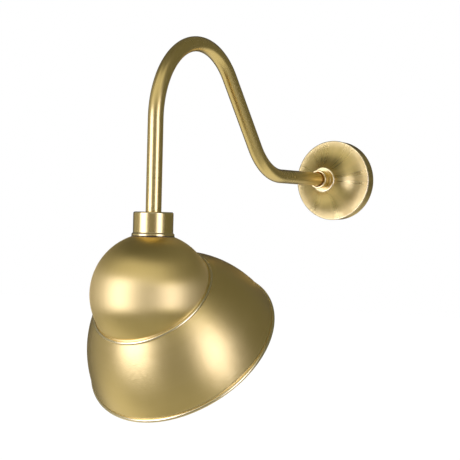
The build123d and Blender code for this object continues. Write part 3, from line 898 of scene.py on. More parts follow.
@dataclass
class Arm(SubAssembly):
    """The bent pipe, its threads at the wall and the lead inside it."""

    pipe_radius: float = 10.67 * MM
    pipe_wall: float = 2.77 * MM
    tail: float = 5 * MM
    lower_run: float = 203 * MM
    lower_bend: float = 110 * MM
    rise: float = math.radians(50)
    middle_run: float = 127 * MM
    crown_bend: float = 112.5 * MM
    thread_length: float = 19 * MM
    thread_pitch: float = 1.81 * MM
    thread_depth: float = 0.9 * MM
    thread_steps: int = 8
    bend_degrees: float = 2.0
    bore_spacing: float = 12 * MM
    edge_round: float = 0.5 * MM
    columns: int = 96
    line_pitch: float = 0.05 * MM
    line_wraps: float = 6.0
    lead_radius: float = 3.5 * MM
    lead_tail: float = 1 * MM
    sleeve_tail: float = 3.6 * MM
    wire_radius: float = 1.35 * MM
    wire_offset: float = 1.5 * MM
    lead_columns: int = 24
    sleeve_spacing: float = 4 * MM
    yarns_along: float = 900.0
    yarns_round: float = 6.0

    def centreline(self, start: float, end_z: float,
                   spacing: float = 6 * MM) -> tuple[Array, Array]:
        """Points and directions along the arm, from the wall to the end.

        Straight runs are start + s d. A bend of radius R turns d by s / R in the plane of Y and Z.

        Args:
            start: How far in front of the wall the line starts.
            end_z: Height where it ends.
            spacing: Distance between points on a straight run.

        Returns:
            Points and unit directions, both as arrays of 3-vectors.
        """
        points, ways = [np.array([[-start, 0.0]])], [np.array([[-1.0, 0.0]])]

        def run(length: float) -> None:
            """Add a straight run.

            Args:
                length: Its length.
            """
            steps = np.linspace(0, length, math.ceil(length / spacing) + 1)[1:, None]
            points.append(points[-1][-1] + steps * ways[-1][-1])
            ways.append(np.repeat(ways[-1][-1:], len(steps), axis=0))

        def bend(radius: float, turn: float) -> None:
            """Add a bend.

            Args:
                radius: Radius of the bend.
                turn: Its angle, positive to the left of the way as seen from +X.
            """
            sign = math.copysign(1.0, turn)
            begin, way = points[-1][-1], ways[-1][-1]
            left = np.array([-way[1], way[0]]) * sign
            steps = int(math.degrees(abs(turn)) / self.bend_degrees) + 1
            angle = np.linspace(0, abs(turn), steps)[1:, None]
            points.append(begin + radius * (np.sin(angle) * way + (1 - np.cos(angle)) * left))
            ways.append(np.cos(angle) * way + np.sin(angle) * left)

        run(self.lower_run - start)
        bend(self.lower_bend, -self.rise)
        run(self.middle_run)
        bend(self.crown_bend, math.pi / 2 + self.rise)
        run(points[-1][-1][1] - end_z)
        flat, way = np.concatenate(points), np.concatenate(ways)
        level = np.zeros((len(flat), 1))
        return np.concatenate([level, flat], axis=1), np.concatenate([level, way], axis=1)

    def tube(self, points: Array, ways: Array, radius: Array, columns: int) -> Grid:
        """Carry a ring along a line that lies in the plane of Y and Z.

        The surface is p(s) + r(s, a) (cos a X + sin a n), where n is square to the line and X.

        Args:
            points: Points of the line, one for each row.
            ways: Unit directions of the line.
            radius: Radius of each row, or of each row and column.
            columns: Steps round the ring.

        Returns:
            The grid.
        """
        angle = np.arange(columns) * TURN / columns
        normal = np.cross(X_AXIS, ways)[:, None]
        spoke = np.cos(angle)[:, None] * X_AXIS + np.sin(angle)[:, None] * normal
        size = np.broadcast_to(radius if np.ndim(radius) == 2 else radius[:, None],
                               (len(points), columns))
        surface = points[:, None] + size[..., None] * spoke
        run = np.r_[0, np.cumsum(np.linalg.norm(np.diff(points, axis=0), axis=1))]
        grain = np.stack(np.broadcast_arrays(
            (run / self.line_pitch)[:, None], np.cos(angle) * self.line_wraps,
            np.sin(angle) * self.line_wraps), -1)
        return Grid(surface, grain)

    def build(self) -> None:
        """Make the pipe and the lead."""
        self.make_pipe(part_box("gooseneck_arm")[0].z)
        self.make_lead()

    def make_pipe(self, end_z: float) -> None:
        """Make the pipe: its threaded outside, its ends and its bore as one closed surface.

        Args:
            end_z: Height where the pipe ends.
        """
        fine = self.thread_pitch / self.thread_steps
        rows = int(self.thread_length / fine)
        points, ways = self.centreline(self.tail + self.thread_length, end_z)
        thread_y = -self.tail - np.arange(rows) * fine
        head = np.stack([np.zeros(rows), thread_y, np.zeros(rows)], 1)
        points = np.concatenate([head, points])
        ways = np.concatenate([np.repeat(ways[:1], rows, axis=0), ways])
        angle = np.arange(self.columns) * TURN / self.columns
        depth = thread(self.tail - self.thread_pitch, self.tail + self.thread_length,
                       self.thread_pitch, self.thread_depth)
        # Past the straight run the distance only has to lie beyond the thread.
        distance = np.where(points[:, 2:3] == 0, -points[:, 1:2], 1.0)
        outside = self.pipe_radius - depth(*np.broadcast_arrays(distance, angle[None, :]))
        inner_points, inner_ways = self.centreline(self.tail, end_z, self.bore_spacing)
        edge = self.edge_round
        tip = np.array([[0.0, 0.0, -1.0]])
        last_y = points[-1, 1]
        rim = np.array([[0.0, last_y, end_z + edge], [0.0, last_y, end_z]])
        rim_radius = np.broadcast_to(
            np.array([self.pipe_radius, self.pipe_radius - edge])[:, None], (2, self.columns))
        inner = np.full((len(inner_points), self.columns), self.pipe_radius - self.pipe_wall)
        grid = self.tube(
            np.concatenate([points[:-1], rim, inner_points[::-1]]),
            np.concatenate([ways[:-1], np.repeat(tip, 2, axis=0), inner_ways[::-1]]),
            np.concatenate([outside[:-1], rim_radius, inner]),
            self.columns,
        )
        self.bench.piece("arm_pipe", grid, self.finishes.drawn, self.body, "brass",
                         "gooseneck_arm")

    def make_lead(self) -> None:
        """Make the woven sleeve over the lead, and the two wires that leave it at the wall."""
        end_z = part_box("arm_lead")[0].z
        points, ways = self.centreline(self.sleeve_tail, end_z, self.sleeve_spacing)
        radius = np.full(len(points), self.lead_radius)
        caps = np.array([0.0])
        grid = self.tube(
            np.concatenate([points[:1], points, points[-1:]]),
            np.concatenate([ways[:1], ways, ways[-1:]]),
            np.concatenate([caps, radius, caps]),
            self.lead_columns,
        )
        grid.closed_rows = False
        run = np.linspace(0, 1, grid.points.shape[0])[:, None] * self.yarns_along
        turn = np.arange(self.lead_columns)[None, :] * TURN / self.lead_columns
        grid.grain = np.stack(np.broadcast_arrays(run, turn * self.yarns_round, 0 * turn), -1)
        self.bench.piece("lead_sleeve", grid, self.finishes.sleeve, self.body, "lead_sleeve",
                         "arm_lead")
        for name, side, finish in (("white_lead_wire", 1, self.finishes.white_wire),
                                   ("black_lead_wire", -1, self.finishes.black_wire)):
            centre = np.array([side * self.wire_offset, -self.sleeve_tail - self.wire_radius, 0.0])
            spindle = Spindle(centre, Y_AXIS, X_AXIS)
            length = self.sleeve_tail + self.wire_radius - self.lead_tail
            outline = rounded([(0, 0, 0), (self.wire_radius, 0, 0),
                               (self.wire_radius, length, 0.2 * MM), (0, length, 0)])
            self.turned(name, spindle, outline, self.lead_columns, finish, "lead_sleeve")


@dataclass
class WallEnd(SubAssembly):
    """The nuts that clamp the pipe in the mounting plate, and the finish of what is round them."""

    flats: float = 28.6 * MM
    bore: float = 10.72 * MM
    chamfer_slope: float = math.tan(math.radians(30))
    corner_cut: float = 0.4 * MM
    columns: int = 144

    def nut(self, node: str, piece: str) -> None:
        """Make a hexagon nut with chamfered corners.

        The outline at angle a is flats / 2 / cos(a mod 60 - 30), and its upper edge drops from
        the top by the slope times what stands beyond the flats.

        Args:
            node: The node that it replaces.
            piece: Its own name.
        """
        low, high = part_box(node)
        height = high.y - low.y
        spindle = Spindle(Y_AXIS * low.y, Y_AXIS, X_AXIS)
        angle, sixth = np.arange(self.columns) * TURN / self.columns, TURN / 6
        hexagon = self.flats / 2 / np.cos(np.mod(angle, sixth) - sixth / 2)
        face = self.flats / 2 - self.corner_cut
        drop = (hexagon - face) * self.chamfer_slope
        rows = [(self.bore, 0), (face, 0), (hexagon, drop), (hexagon, height - drop),
                (face, height), (self.bore, height)]
        radius, level = (
            np.stack([np.broadcast_to(row[part], angle.shape) for row in rows]) for part in (0, 1)
        )
        angle = np.broadcast_to(angle, radius.shape)
        grid = Grid(spindle.place(radius, level, angle), spindle.grain(level, angle))
        self.bench.piece(piece, grid, self.finishes.zinc, self.body, "zinc_steel", node)

    def build(self) -> None:
        """Make the nuts and dress the plate's other pieces."""
        self.nut("rear_locknut", "rear_hexagon_nut")
        self.nut("front_locknut", "front_hexagon_nut")
        self.bench.dress(self.finishes.zinc, "mounting_plate", "lock_washer")
        self.bench.dress(self.finishes.green, "ground_screw")
        self.bench.dress(self.finishes.black, "wire_bushing")


@dataclass
class CanopySet(SubAssembly):
    """The spun canopy with its turned collar. Heights are depths in front of the wall."""

    body = Body.CANOPY

    side_radius: float = 64.4 * MM
    rim_depth: float = 20.6 * MM
    fold_radius: float = 1.4 * MM
    hem: float = 0.7 * MM
    face_margin: float = 1.6 * MM
    neck_radius: float = 20.2 * MM
    neck_depth: float = 54 * MM
    wall: float = 1 * MM
    bore: float = 10.72 * MM
    spigot_wall: float = 3.6 * MM
    spigot_length: float = 4 * MM
    flange_radius: float = 20.95 * MM
    flange_height: float = 3.3 * MM
    flange_round: float = 2.2 * MM
    barrel_wall: float = 3.4 * MM
    lip_wall: float = 4.3 * MM
    lip_height: float = 3 * MM
    lip_round: float = 1.2 * MM
    length: float = 22.4 * MM
    mouth_width: float = 1.7 * MM
    mouth_depth: float = 3.2 * MM
    gap: float = 0.05 * MM
    canopy_columns: int = 256
    collar_columns: int = 160

    def build(self) -> None:
        """Make the canopy and its collar."""
        spindle = Spindle(np.zeros(3), -Y_AXIS, X_AXIS)
        self.turned("spun_canopy", spindle, self.canopy_outline(), self.canopy_columns,
                    self.finishes.canopy, "brass", "canopy")
        collar = self.turned("turned_collar", spindle, self.collar_outline(), self.collar_columns,
                             self.finishes.turned, "brass", "canopy_collar")
        self.bench.screw_hole(collar, "collar_screw", (-1, 0, 0))
        self.bench.dress(self.finishes.plain_brass, "collar_screw")

    def canopy_outline(self) -> Array:
        """Outline of the canopy.

        Its face is one arc that starts square to the axis at the rim and ends at the neck: with a
        run w and a rise h its radius is (w^2 + h^2) / 2h.

        Returns:
            The outline, from the hole over the face and the fold to the inside.
        """
        start = self.side_radius - self.face_margin
        run, lift = start - self.neck_radius, self.neck_depth - self.rim_depth
        radius = (run**2 + lift**2) / (2 * lift)
        sweep = math.asin(run / radius)
        centre = (start, self.rim_depth + radius)
        fold = (self.side_radius + self.hem - self.fold_radius, self.rim_depth - self.fold_radius)
        down = -math.pi / 2
        side_angle = math.acos((self.side_radius - fold[0]) / self.fold_radius)
        inner = radius + self.wall
        hole = self.bore + self.spigot_wall + self.gap
        pen = Pen()
        pen.to(hole, self.neck_depth)
        pen.arc(centre, radius, down - sweep, down, 40)
        pen.arc(fold, self.fold_radius, math.pi / 2, -side_angle, 12)
        pen.to(self.side_radius, 0)
        pen.to(self.side_radius - self.wall, 0)
        pen.to(self.side_radius - self.wall, self.rim_depth - self.wall)
        pen.arc(centre, inner, down, down - math.asin(run / inner), 40)
        pen.to(hole, self.neck_depth - self.wall)
        pen.to(hole, self.neck_depth)
        return pen.outline()

    def collar_outline(self) -> Array:
        """Outline of the collar: spigot, flange, barrel, rounded lip and mouth round the pipe.

        Returns:
            The outline.
        """
        neck, end = self.neck_depth, self.neck_depth + self.length
        spigot, barrel = self.bore + self.spigot_wall, self.bore + self.barrel_wall
        lip = self.bore + self.lip_wall
        return rounded([
            (self.bore, neck - self.spigot_length, 0),
            (spigot, neck - self.spigot_length, 0.4 * MM),
            (spigot, neck, 0),
            (self.flange_radius, neck, 0.5 * MM),
            (self.flange_radius, neck + self.flange_height, self.flange_round),
            (barrel, neck + self.flange_height, 0.4 * MM),
            (barrel, end - self.lip_height, 0.3 * MM),
            (lip, end - self.lip_height, 0.7 * MM),
            (lip, end, self.lip_round),
            (self.bore + self.mouth_width, end, 0.3 * MM),
            (self.bore, end - self.mouth_depth, 0.3 * MM),
        ], 7)


@dataclass
class Shade(SubAssembly):
    """The turned cup, the gasket, the dome and the skirt."""

    body = Body.SHADE

    cup_radius: float = 27.25 * MM
    cup_wall: float = 3.75 * MM
    cup_top_wall: float = 4 * MM
    cup_corner: float = 2.4 * MM
    hub_bore: float = 10.72 * MM
    hub_wall: float = 4.4 * MM
    hub_length: float = 12.95 * MM
    flange_radius: float = 29.05 * MM
    flange_height: float = 4.9 * MM
    undercut: float = 0.5 * MM
    tilt: float = math.radians(45)
    swing: float = math.radians(5)
    wall: float = 1.2 * MM
    dome_radius: float = 83.7 * MM
    neck_flat: float = 29.5 * MM
    neck_hole: float = 23.5 * MM
    lap_length: float = 6 * MM
    lap_gap: float = 0.05 * MM
    bead_radius: float = 2.7 * MM
    bead_height: float = 2.9 * MM
    bead_stand: float = 2.2 * MM
    groove_height: float = 5.6 * MM
    shoulder_radius: float = 92.4 * MM
    shoulder_height: float = 8.4 * MM
    groove_round: float = 1.5 * MM
    shoulder_round: float = 3.5 * MM
    middle: tuple[float, float] = (120.9 * MM, 50 * MM)
    rim: tuple[float, float] = (136.6 * MM, 101.2 * MM)
    rim_edge: tuple[float, float] = (138.7 * MM, 103.3 * MM)
    rim_roll: float = 2.6 * MM
    rim_groove: float = 0.35 * MM
    rim_groove_width: float = 1.4 * MM
    rim_groove_side: float = 0.6 * MM
    ring_gap: float = 0.05 * MM
    ring_inset: float = 0.15 * MM
    ring_press: float = 0.02 * MM
    cup_columns: int = 192
    ring_columns: int = 128
    skirt_columns: int = 320
    dome_columns: int = 256
    dome_rows: int = 72
    dome_grain: float = 2.5

    def build(self) -> None:
        """Make the brass pieces of the shade and the ring under its cup."""
        low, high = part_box("fitter_cup")
        reach = (low.y + high.y) / 2
        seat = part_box("neck_gasket")[0].z
        upright = Spindle.upright(reach)
        drop = math.sqrt(self.dome_radius**2 - self.neck_flat**2)
        centre = np.array([0.0, reach, seat - drop])
        mouth = np.array([
            math.sin(self.tilt) * math.sin(self.swing),
            math.sin(self.tilt) * math.cos(self.swing),
            -math.cos(self.tilt),
        ])
        level = np.array([math.cos(self.swing), -math.sin(self.swing), 0.0])
        spindle = Spindle(centre, mouth, level)
        cup = self.turned("turned_cup", upright, self.cup_outline(low.z, high.z),
                          self.cup_columns, self.finishes.turned, "brass", "fitter_cup")
        self.bench.screw_hole(cup, "fitter_screw", (0, 1, 0))
        self.bench.piece("spun_dome", self.dome_grid(spindle, seat), self.finishes.dome,
                         self.body, "brass", "shade_dome")
        self.turned("spun_skirt", spindle, self.skirt_outline(), self.skirt_columns,
                    self.finishes.skirt, "brass", "shade_skirt")
        self.turned("rubber_ring", upright, self.ring_outline(seat, low.z), self.ring_columns,
                    self.finishes.rubber, "rubber", "neck_gasket")
        self.bench.dress(self.finishes.plain_brass, "fitter_screw", "clamp_ring", "swivel_stud")
        self.bench.dress(self.finishes.fibre, "friction_washer")

    @property
    def undercut_radius(self) -> float:
        """Radius of the undercut's wall, one and a half of its height inside the flange."""
        return self.flange_radius - 1.5 * self.undercut

    def cup_outline(self, low: float, high: float) -> Array:
        """Outline of the cup, with its hub, its rounded top and the low flange at its foot.

        Args:
            low: Height of its foot.
            high: Height of its top.

        Returns:
            The outline.
        """
        flange_top = low + self.flange_height
        stand = self.flange_radius - self.cup_radius
        cavity = self.cup_radius - self.cup_wall
        ceiling = high - self.cup_top_wall
        hub = self.hub_bore + self.hub_wall
        return rounded([
            (self.hub_bore, high, 0.3 * MM),
            (self.cup_radius, high, self.cup_corner),
            (self.cup_radius, flange_top, 0.5 * MM),
            (self.flange_radius, flange_top - stand, 1.2 * MM),
            (self.flange_radius, low + self.undercut, 0.3 * MM),
            (self.undercut_radius, low + self.undercut, 0),
            (self.undercut_radius, low, 0),
            (cavity, low, 0),
            (cavity, ceiling, 0),
            (hub, ceiling, 0),
            (hub, high - self.hub_length, 0),
            (self.hub_bore, high - self.hub_length, 0),
        ], 8)

    def ring_outline(self, seat: float, low: float) -> Array:
        """Outline of the rubber ring, whose lip fills the undercut of the cup's flange.

        Args:
            seat: Height of the dome's flat neck.
            low: Height of the cup's foot.

        Returns:
            The outline.
        """
        inside, outside = self.undercut_radius + self.ring_gap, self.neck_flat - self.ring_inset
        bore, lip = self.cup_radius - self.cup_wall, low + self.undercut - self.ring_gap
        foot, top = seat + self.ring_press, low - self.ring_press
        return rounded([
            (bore, foot, 0),
            (outside, foot, 0),
            (outside, lip, 0.3 * MM),
            (inside, lip, 0),
            (inside, top, 0),
            (bore, top, 0),
        ], 3)

    def dome_grid(self, spindle: Spindle, seat: float) -> Grid:
        """Surface of the dome, whose neck lies off its pole.

        Both the neck and the mouth are circles on the sphere. At each angle the sphere's rows
        run along the great circle from the neck's point n to the mouth's point m, as
        (n sin((1 - u) w) + m sin(u w)) / sin w, where w is the angle between them.

        Args:
            spindle: The shade's axis, whose origin is the sphere's centre.
            seat: Height of the flat neck.

        Returns:
            The grid, from the neck's hole over the outside to the lap and back up the inside.
        """
        angle, up = np.arange(self.dome_columns) * TURN / self.dome_columns, Z_AXIS
        ahead = np.cross(up, spindle.across)
        flat_spoke = np.cos(angle)[:, None] * spindle.across + np.sin(angle)[:, None] * ahead
        tilted = spindle.side * (-1 if spindle.side @ ahead < 0 else 1)
        mouth_spoke = np.cos(angle)[:, None] * spindle.across + np.sin(angle)[:, None] * tilted

        def ball(radius: float, level: float) -> Array:
            """Give the rows of a sphere.

            Args:
                radius: Radius of the sphere.
                level: Height of the circle that they start at.

            Returns:
                The rows, down to the mouth.
            """
            neck = math.sqrt(radius**2 - level**2)
            start = (flat_spoke * neck + up * level) / radius
            between = np.arccos(np.clip(np.einsum("ij,ij->i", start, mouth_spoke), -1, 1))
            share = np.linspace(0, 1, self.dome_rows)[:, None]
            first = np.sin((1 - share) * between) / np.sin(between)
            last = np.sin(share * between) / np.sin(between)
            return radius * (first[..., None] * start + last[..., None] * mouth_spoke)

        def ring(radius: float, level: float) -> Array:
            """One row round the neck."""
            return (flat_spoke * radius + up * level)[None]

        def lap(radius: float, depth: float) -> Array:
            """One row of the sleeve below the mouth."""
            return (mouth_spoke * radius + spindle.axis * depth)[None]

        top = seat - spindle.origin[2]
        under = top - self.wall
        inside = self.dome_radius - self.wall
        margin = Pen.margin
        around = np.concatenate([
            ring(self.neck_hole, under),
            ring(self.neck_hole, top),
            ring(self.neck_hole + margin, top),
            ring(self.neck_flat - margin, top),
            ball(self.dome_radius, top),
            lap(self.dome_radius, self.lap_length - margin),
            lap(self.dome_radius - margin, self.lap_length),
            lap(inside, self.lap_length),
            ball(inside, under)[::-1],
        ])
        polar = np.arccos(np.clip(unit(around)[..., 2], -1, 1))
        turn = np.arctan2(around[..., 1], around[..., 0])
        lines = self.dome_radius / spindle.line_pitch
        grain = np.stack(
            [np.cos(turn) * lines, np.sin(turn) * lines, polar * self.dome_grain], -1
        )
        return Grid(spindle.origin + around, grain, unit(np.cross(up, around)))

    def skirt_outline(self) -> Array:
        """Outline of the skirt: bead, groove, shoulder, bell and rolled rim, then back inside.

        The bell is the circle through the shoulder, the middle and the rim, and its inner face
        is the same circle, less the wall. A shallow groove on a smaller circle sets off the rim.

        Returns:
            The outline.
        """
        bore = self.dome_radius + self.lap_gap
        neck = bore + self.wall
        bead = (self.dome_radius + self.bead_stand, self.bead_height)
        shoulder = (self.shoulder_radius, self.shoulder_height)
        centre, radius = circle_through(shoulder, self.middle, self.rim)
        inner = radius - self.wall
        bead_start = -math.acos((bore - bead[0]) / self.bead_radius)
        bead_end = math.acos((neck - bead[0]) / self.bead_radius)
        near = angle_at(centre, shoulder) - self.shoulder_round / radius
        bell = circle(centre, radius, np.array([near]))[0]
        groove = (neck, self.groove_height)
        pen = Pen()
        pen.arc(bead, self.bead_radius, bead_start, bead_end, 18)
        pen.points.extend(round_corner((neck, bead[1]), groove, shoulder, self.groove_round, 6))
        pen.points.extend(round_corner(groove, shoulder, bell, self.shoulder_round, 12))
        sunk = radius - self.rim_groove
        outer_meet = self.nearer_rim(centre, sunk)
        inner_meet = self.nearer_rim(centre, inner)
        end = angle_at(centre, outer_meet)
        way = math.copysign(1.0, end - near) / radius
        brink = end - way * self.rim_groove_width
        pen.arc(centre, radius, near, brink - way * self.rim_groove_side, 72)
        pen.arc(centre, sunk, brink, end, 4)
        roll = self.roll_centre
        first, last = angle_at(roll, outer_meet), angle_at(roll, inner_meet)
        pen.arc(roll, self.rim_roll, first, last + (TURN if last < first else 0), 24)
        turned_in = near - self.wall / radius
        pen.arc(centre, inner, angle_at(centre, inner_meet), turned_in, 48)
        inside = (self.shoulder_radius - self.wall, self.shoulder_height + self.wall)
        corner = round_corner(pen.points[-1], inside, (bore, inside[1] - 1.5 * self.wall),
                              self.shoulder_round - self.wall, 4)
        pen.points.extend(corner)
        pen.to(bore, self.groove_height)
        pen.to(*pen.points[0])
        return pen.outline()

    @property
    def roll_centre(self) -> tuple[float, float]:
        """Centre of the rim's roll, which touches the edge's widest radius and its height."""
        return self.rim_edge[0] - self.rim_roll, self.rim_edge[1] - self.rim_roll

    def nearer_rim(self, centre: Spot, radius: float) -> Array:
        """Point where a face of the bell meets the rim's roll.

        Args:
            centre: Centre of the face's circle.
            radius: Its radius.

        Returns:
            The point as radius and height.
        """
        both = crossings(self.roll_centre, self.rim_roll, centre, radius)
        return min(both, key=lambda point: point[1])


@dataclass
class Socket(SubAssembly):
    """The porcelain socket with its threaded shell, and the finish of the pieces round it."""

    body = Body.SHADE

    bore: float = 4.3 * MM
    neck_radius: float = 18 * MM
    neck_height: float = 13 * MM
    body_radius: float = 21 * MM
    cavity_radius: float = 15.2 * MM
    cavity_depth: float = 30 * MM
    body_round: float = 2 * MM
    shell_radius: float = 14.9 * MM
    shell_wall: float = 0.5 * MM
    thread_pitch: float = 3.63 * MM
    thread_depth: float = 0.55 * MM
    thread_steps: int = 10
    columns: int = 128
    shell_columns: int = 96

    def build(self) -> None:
        """Make the socket and its shell."""
        low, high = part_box("socket_body")
        spindle = Spindle.upright((low.y + high.y) / 2)
        floor = low.z + self.cavity_depth
        neck = high.z - self.neck_height
        outline = rounded([
            (self.bore, high.z, 0.5 * MM),
            (self.neck_radius, high.z, 1 * MM),
            (self.neck_radius, neck, 0.8 * MM),
            (self.body_radius, neck - self.body_round, 1.2 * MM),
            (self.body_radius, low.z, self.body_round),
            (self.cavity_radius, low.z, 1.4 * MM),
            (self.cavity_radius, floor, 0.5 * MM),
            (self.bore, floor, 0.4 * MM),
        ], 6)
        self.turned("porcelain_socket", spindle, outline, self.columns, self.finishes.porcelain,
                    "porcelain", "socket_body")
        self.make_shell(spindle)
        self.bench.dress(self.finishes.zinc, "socket_plate", "plate_screws", "socket_screws")
        self.bench.dress(self.finishes.plain_brass, "terminal_screws")
        self.bench.dress(self.finishes.contact, "centre_contact")
        self.bench.dress(self.finishes.white_wire, "socket_lead")

    def make_shell(self, spindle: Spindle) -> None:
        """Make the shell: an outer and an inner wall with the same thread.

        Args:
            spindle: The socket's axis.
        """
        bottom, top = (corner.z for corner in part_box("screw_shell"))
        rows = np.arange(bottom, top, self.thread_pitch / self.thread_steps)
        outer = self.shell_radius
        inner = outer - self.shell_wall
        outline = np.concatenate([
            np.stack([np.full(len(rows), outer), rows], 1),
            np.stack([np.full(len(rows), inner), rows[::-1]], 1),
        ])
        relief = thread(bottom, top, self.thread_pitch, self.thread_depth)
        self.turned("threaded_shell", spindle, outline, self.shell_columns, self.finishes.contact,
                    "contact_metal", "screw_shell", relief=relief)


@dataclass
class Lamp(SubAssembly):
    """The frosted lamp on its screw base."""

    body = Body.LAMP

    bulb_radius: float = 30 * MM
    neck_bend: float = 40 * MM
    neck_radius: float = 12.2 * MM
    neck_length: float = 10 * MM
    glass_wall: float = 0.9 * MM
    cap_radius: float = 13.1 * MM
    cap_wall: float = 0.4 * MM
    cap_slope: float = 5 * MM
    cap_shoulder: float = 7 * MM
    collar_height: float = 3.4 * MM
    thread_pitch: float = 3.63 * MM
    thread_depth: float = 0.8 * MM
    thread_steps: int = 10
    cone_gap: float = 0.3 * MM
    tip_gap: float = 0.2 * MM
    contact_radius: float = 4.6 * MM
    contact_tip: float = 2.07 * MM
    glass_columns: int = 128
    cap_columns: int = 96
    insulator_columns: int = 64
    contact_columns: int = 48

    def build(self) -> None:
        """Make the glass, the cap, the insulator and the contact."""
        cap_low, cap_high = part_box("bulb_cap")
        spindle = Spindle.upright((cap_low.y + cap_high.y) / 2)
        self.make_glass(spindle, cap_low.z)
        self.make_cap(spindle, cap_low.z, cap_high.z)
        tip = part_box("bulb_contact")
        low, mid, high = cap_high.z, tip[0].z, tip[1].z
        insulator = rounded([(0, low, 0), (self.cap_shoulder, low, 0.3 * MM),
                             (self.contact_radius, mid, 0.4 * MM), (0, mid, 0)])
        self.turned("glass_insulator", spindle, insulator, self.insulator_columns,
                    self.finishes.black_glass, "black_glass", "bulb_insulator")
        contact = rounded([(0, mid, 0), (self.contact_radius, mid, 0.1 * MM),
                           (self.contact_tip, high, 1.2 * MM), (0, high, 0)])
        self.turned("solder_contact", spindle, contact, self.contact_columns,
                    self.finishes.contact, "contact_metal", "bulb_contact")

    def make_glass(self, spindle: Spindle, cap_low: float) -> None:
        """Make the glass: a neck, a hollow bend and a ball that are tangent to each other.

        Args:
            spindle: The lamp's axis.
            cap_low: Height of the cap's foot.
        """
        turn = math.acos((self.neck_radius + self.neck_bend) / (self.bulb_radius + self.neck_bend))
        centre_z = cap_low - (self.bulb_radius + self.neck_bend) * math.sin(turn)
        bend = (self.neck_radius + self.neck_bend, cap_low)
        ball = (0.0, centre_z)
        top = cap_low + self.neck_length
        pen = Pen()
        for wall, forward in ((0.0, True), (self.glass_wall, False)):
            part = Pen()
            part.to(self.neck_radius - wall, top)
            part.arc(bend, self.neck_bend + wall, math.pi, math.pi + turn, 14)
            part.arc(ball, self.bulb_radius - wall, turn, -math.pi / 2, 40)
            pen.points += part.points if forward else part.points[::-1]
        outline = pen.outline()
        outline[:, 0] = np.maximum(outline[:, 0], 0.0)
        self.turned("frosted_bulb", spindle, outline, self.glass_columns, self.finishes.frosted,
                    "frosted_glass", "bulb_glass")

    def make_cap(self, spindle: Spindle, low: float, high: float) -> None:
        """Make the cap: plain collar, rolled thread and cone.

        Args:
            spindle: The lamp's axis.
            low: Height of its foot.
            high: Height of its top.
        """
        start, end = low + self.collar_height, high - self.cap_slope
        inside = self.cap_radius - self.thread_depth - self.cap_wall
        pen = Pen()
        pen.to(self.cap_radius - self.cap_wall, low)
        pen.to(self.cap_radius, low)
        rows = np.arange(start, end, self.thread_pitch / self.thread_steps)
        pen.points.extend(np.stack([np.full(len(rows), self.cap_radius), rows], 1))
        pen.to(self.cap_radius, end)
        pen.to(self.cap_shoulder, high)
        pen.to(self.cap_shoulder - self.cap_wall, high - self.tip_gap)
        pen.to(inside, end - self.cone_gap)
        pen.to(inside, start)
        pen.to(self.cap_radius - self.cap_wall, low)
        outline = pen.outline()
        outside = (outline[:, 0] > self.cap_radius - SAME_SPOT)[:, None]
        zone = thread(start, end, self.thread_pitch, self.thread_depth)

        def relief(height: Array, angle: Array) -> Array:
            """Thread on the outside rows only."""
            return zone(height, angle) * outside

        self.turned("threaded_cap", spindle, outline, self.cap_columns, self.finishes.cap,
                    "cap_metal", "bulb_cap", relief=relief)


# The studio.


@dataclass(frozen=True)
class Board:
    """A board, soft box or flag, in degrees from the camera's side as the light sees it."""

    heading: float
    width: float
    height: float
    tall: float
    colour: Triple
    soft: float = 4.0
    soft_height: float = 6.0

    @property
    def headings(self) -> tuple[float, ...]:
        """Its heading, or both ends of the scale where it stands across the seam between them."""
        return (180, -180) if self.heading == 180 else (self.heading,)


@dataclass(frozen=True)
class Panel:
    """A soft box near the light that only gloss shows, brightest in its middle."""

    name: str
    heading: float
    distance: float
    level: float
    width: float
    tall: float
    edge: Triple
    core: Triple
    soft: float
    core_share: float = 0.62


@dataclass(frozen=True)
class SoftLamp:
    """A lamp with a broad face, in metres and watts."""

    name: str
    heading: float
    lift: float
    width: float
    height: float
    power: float
    distance: float = 2.6


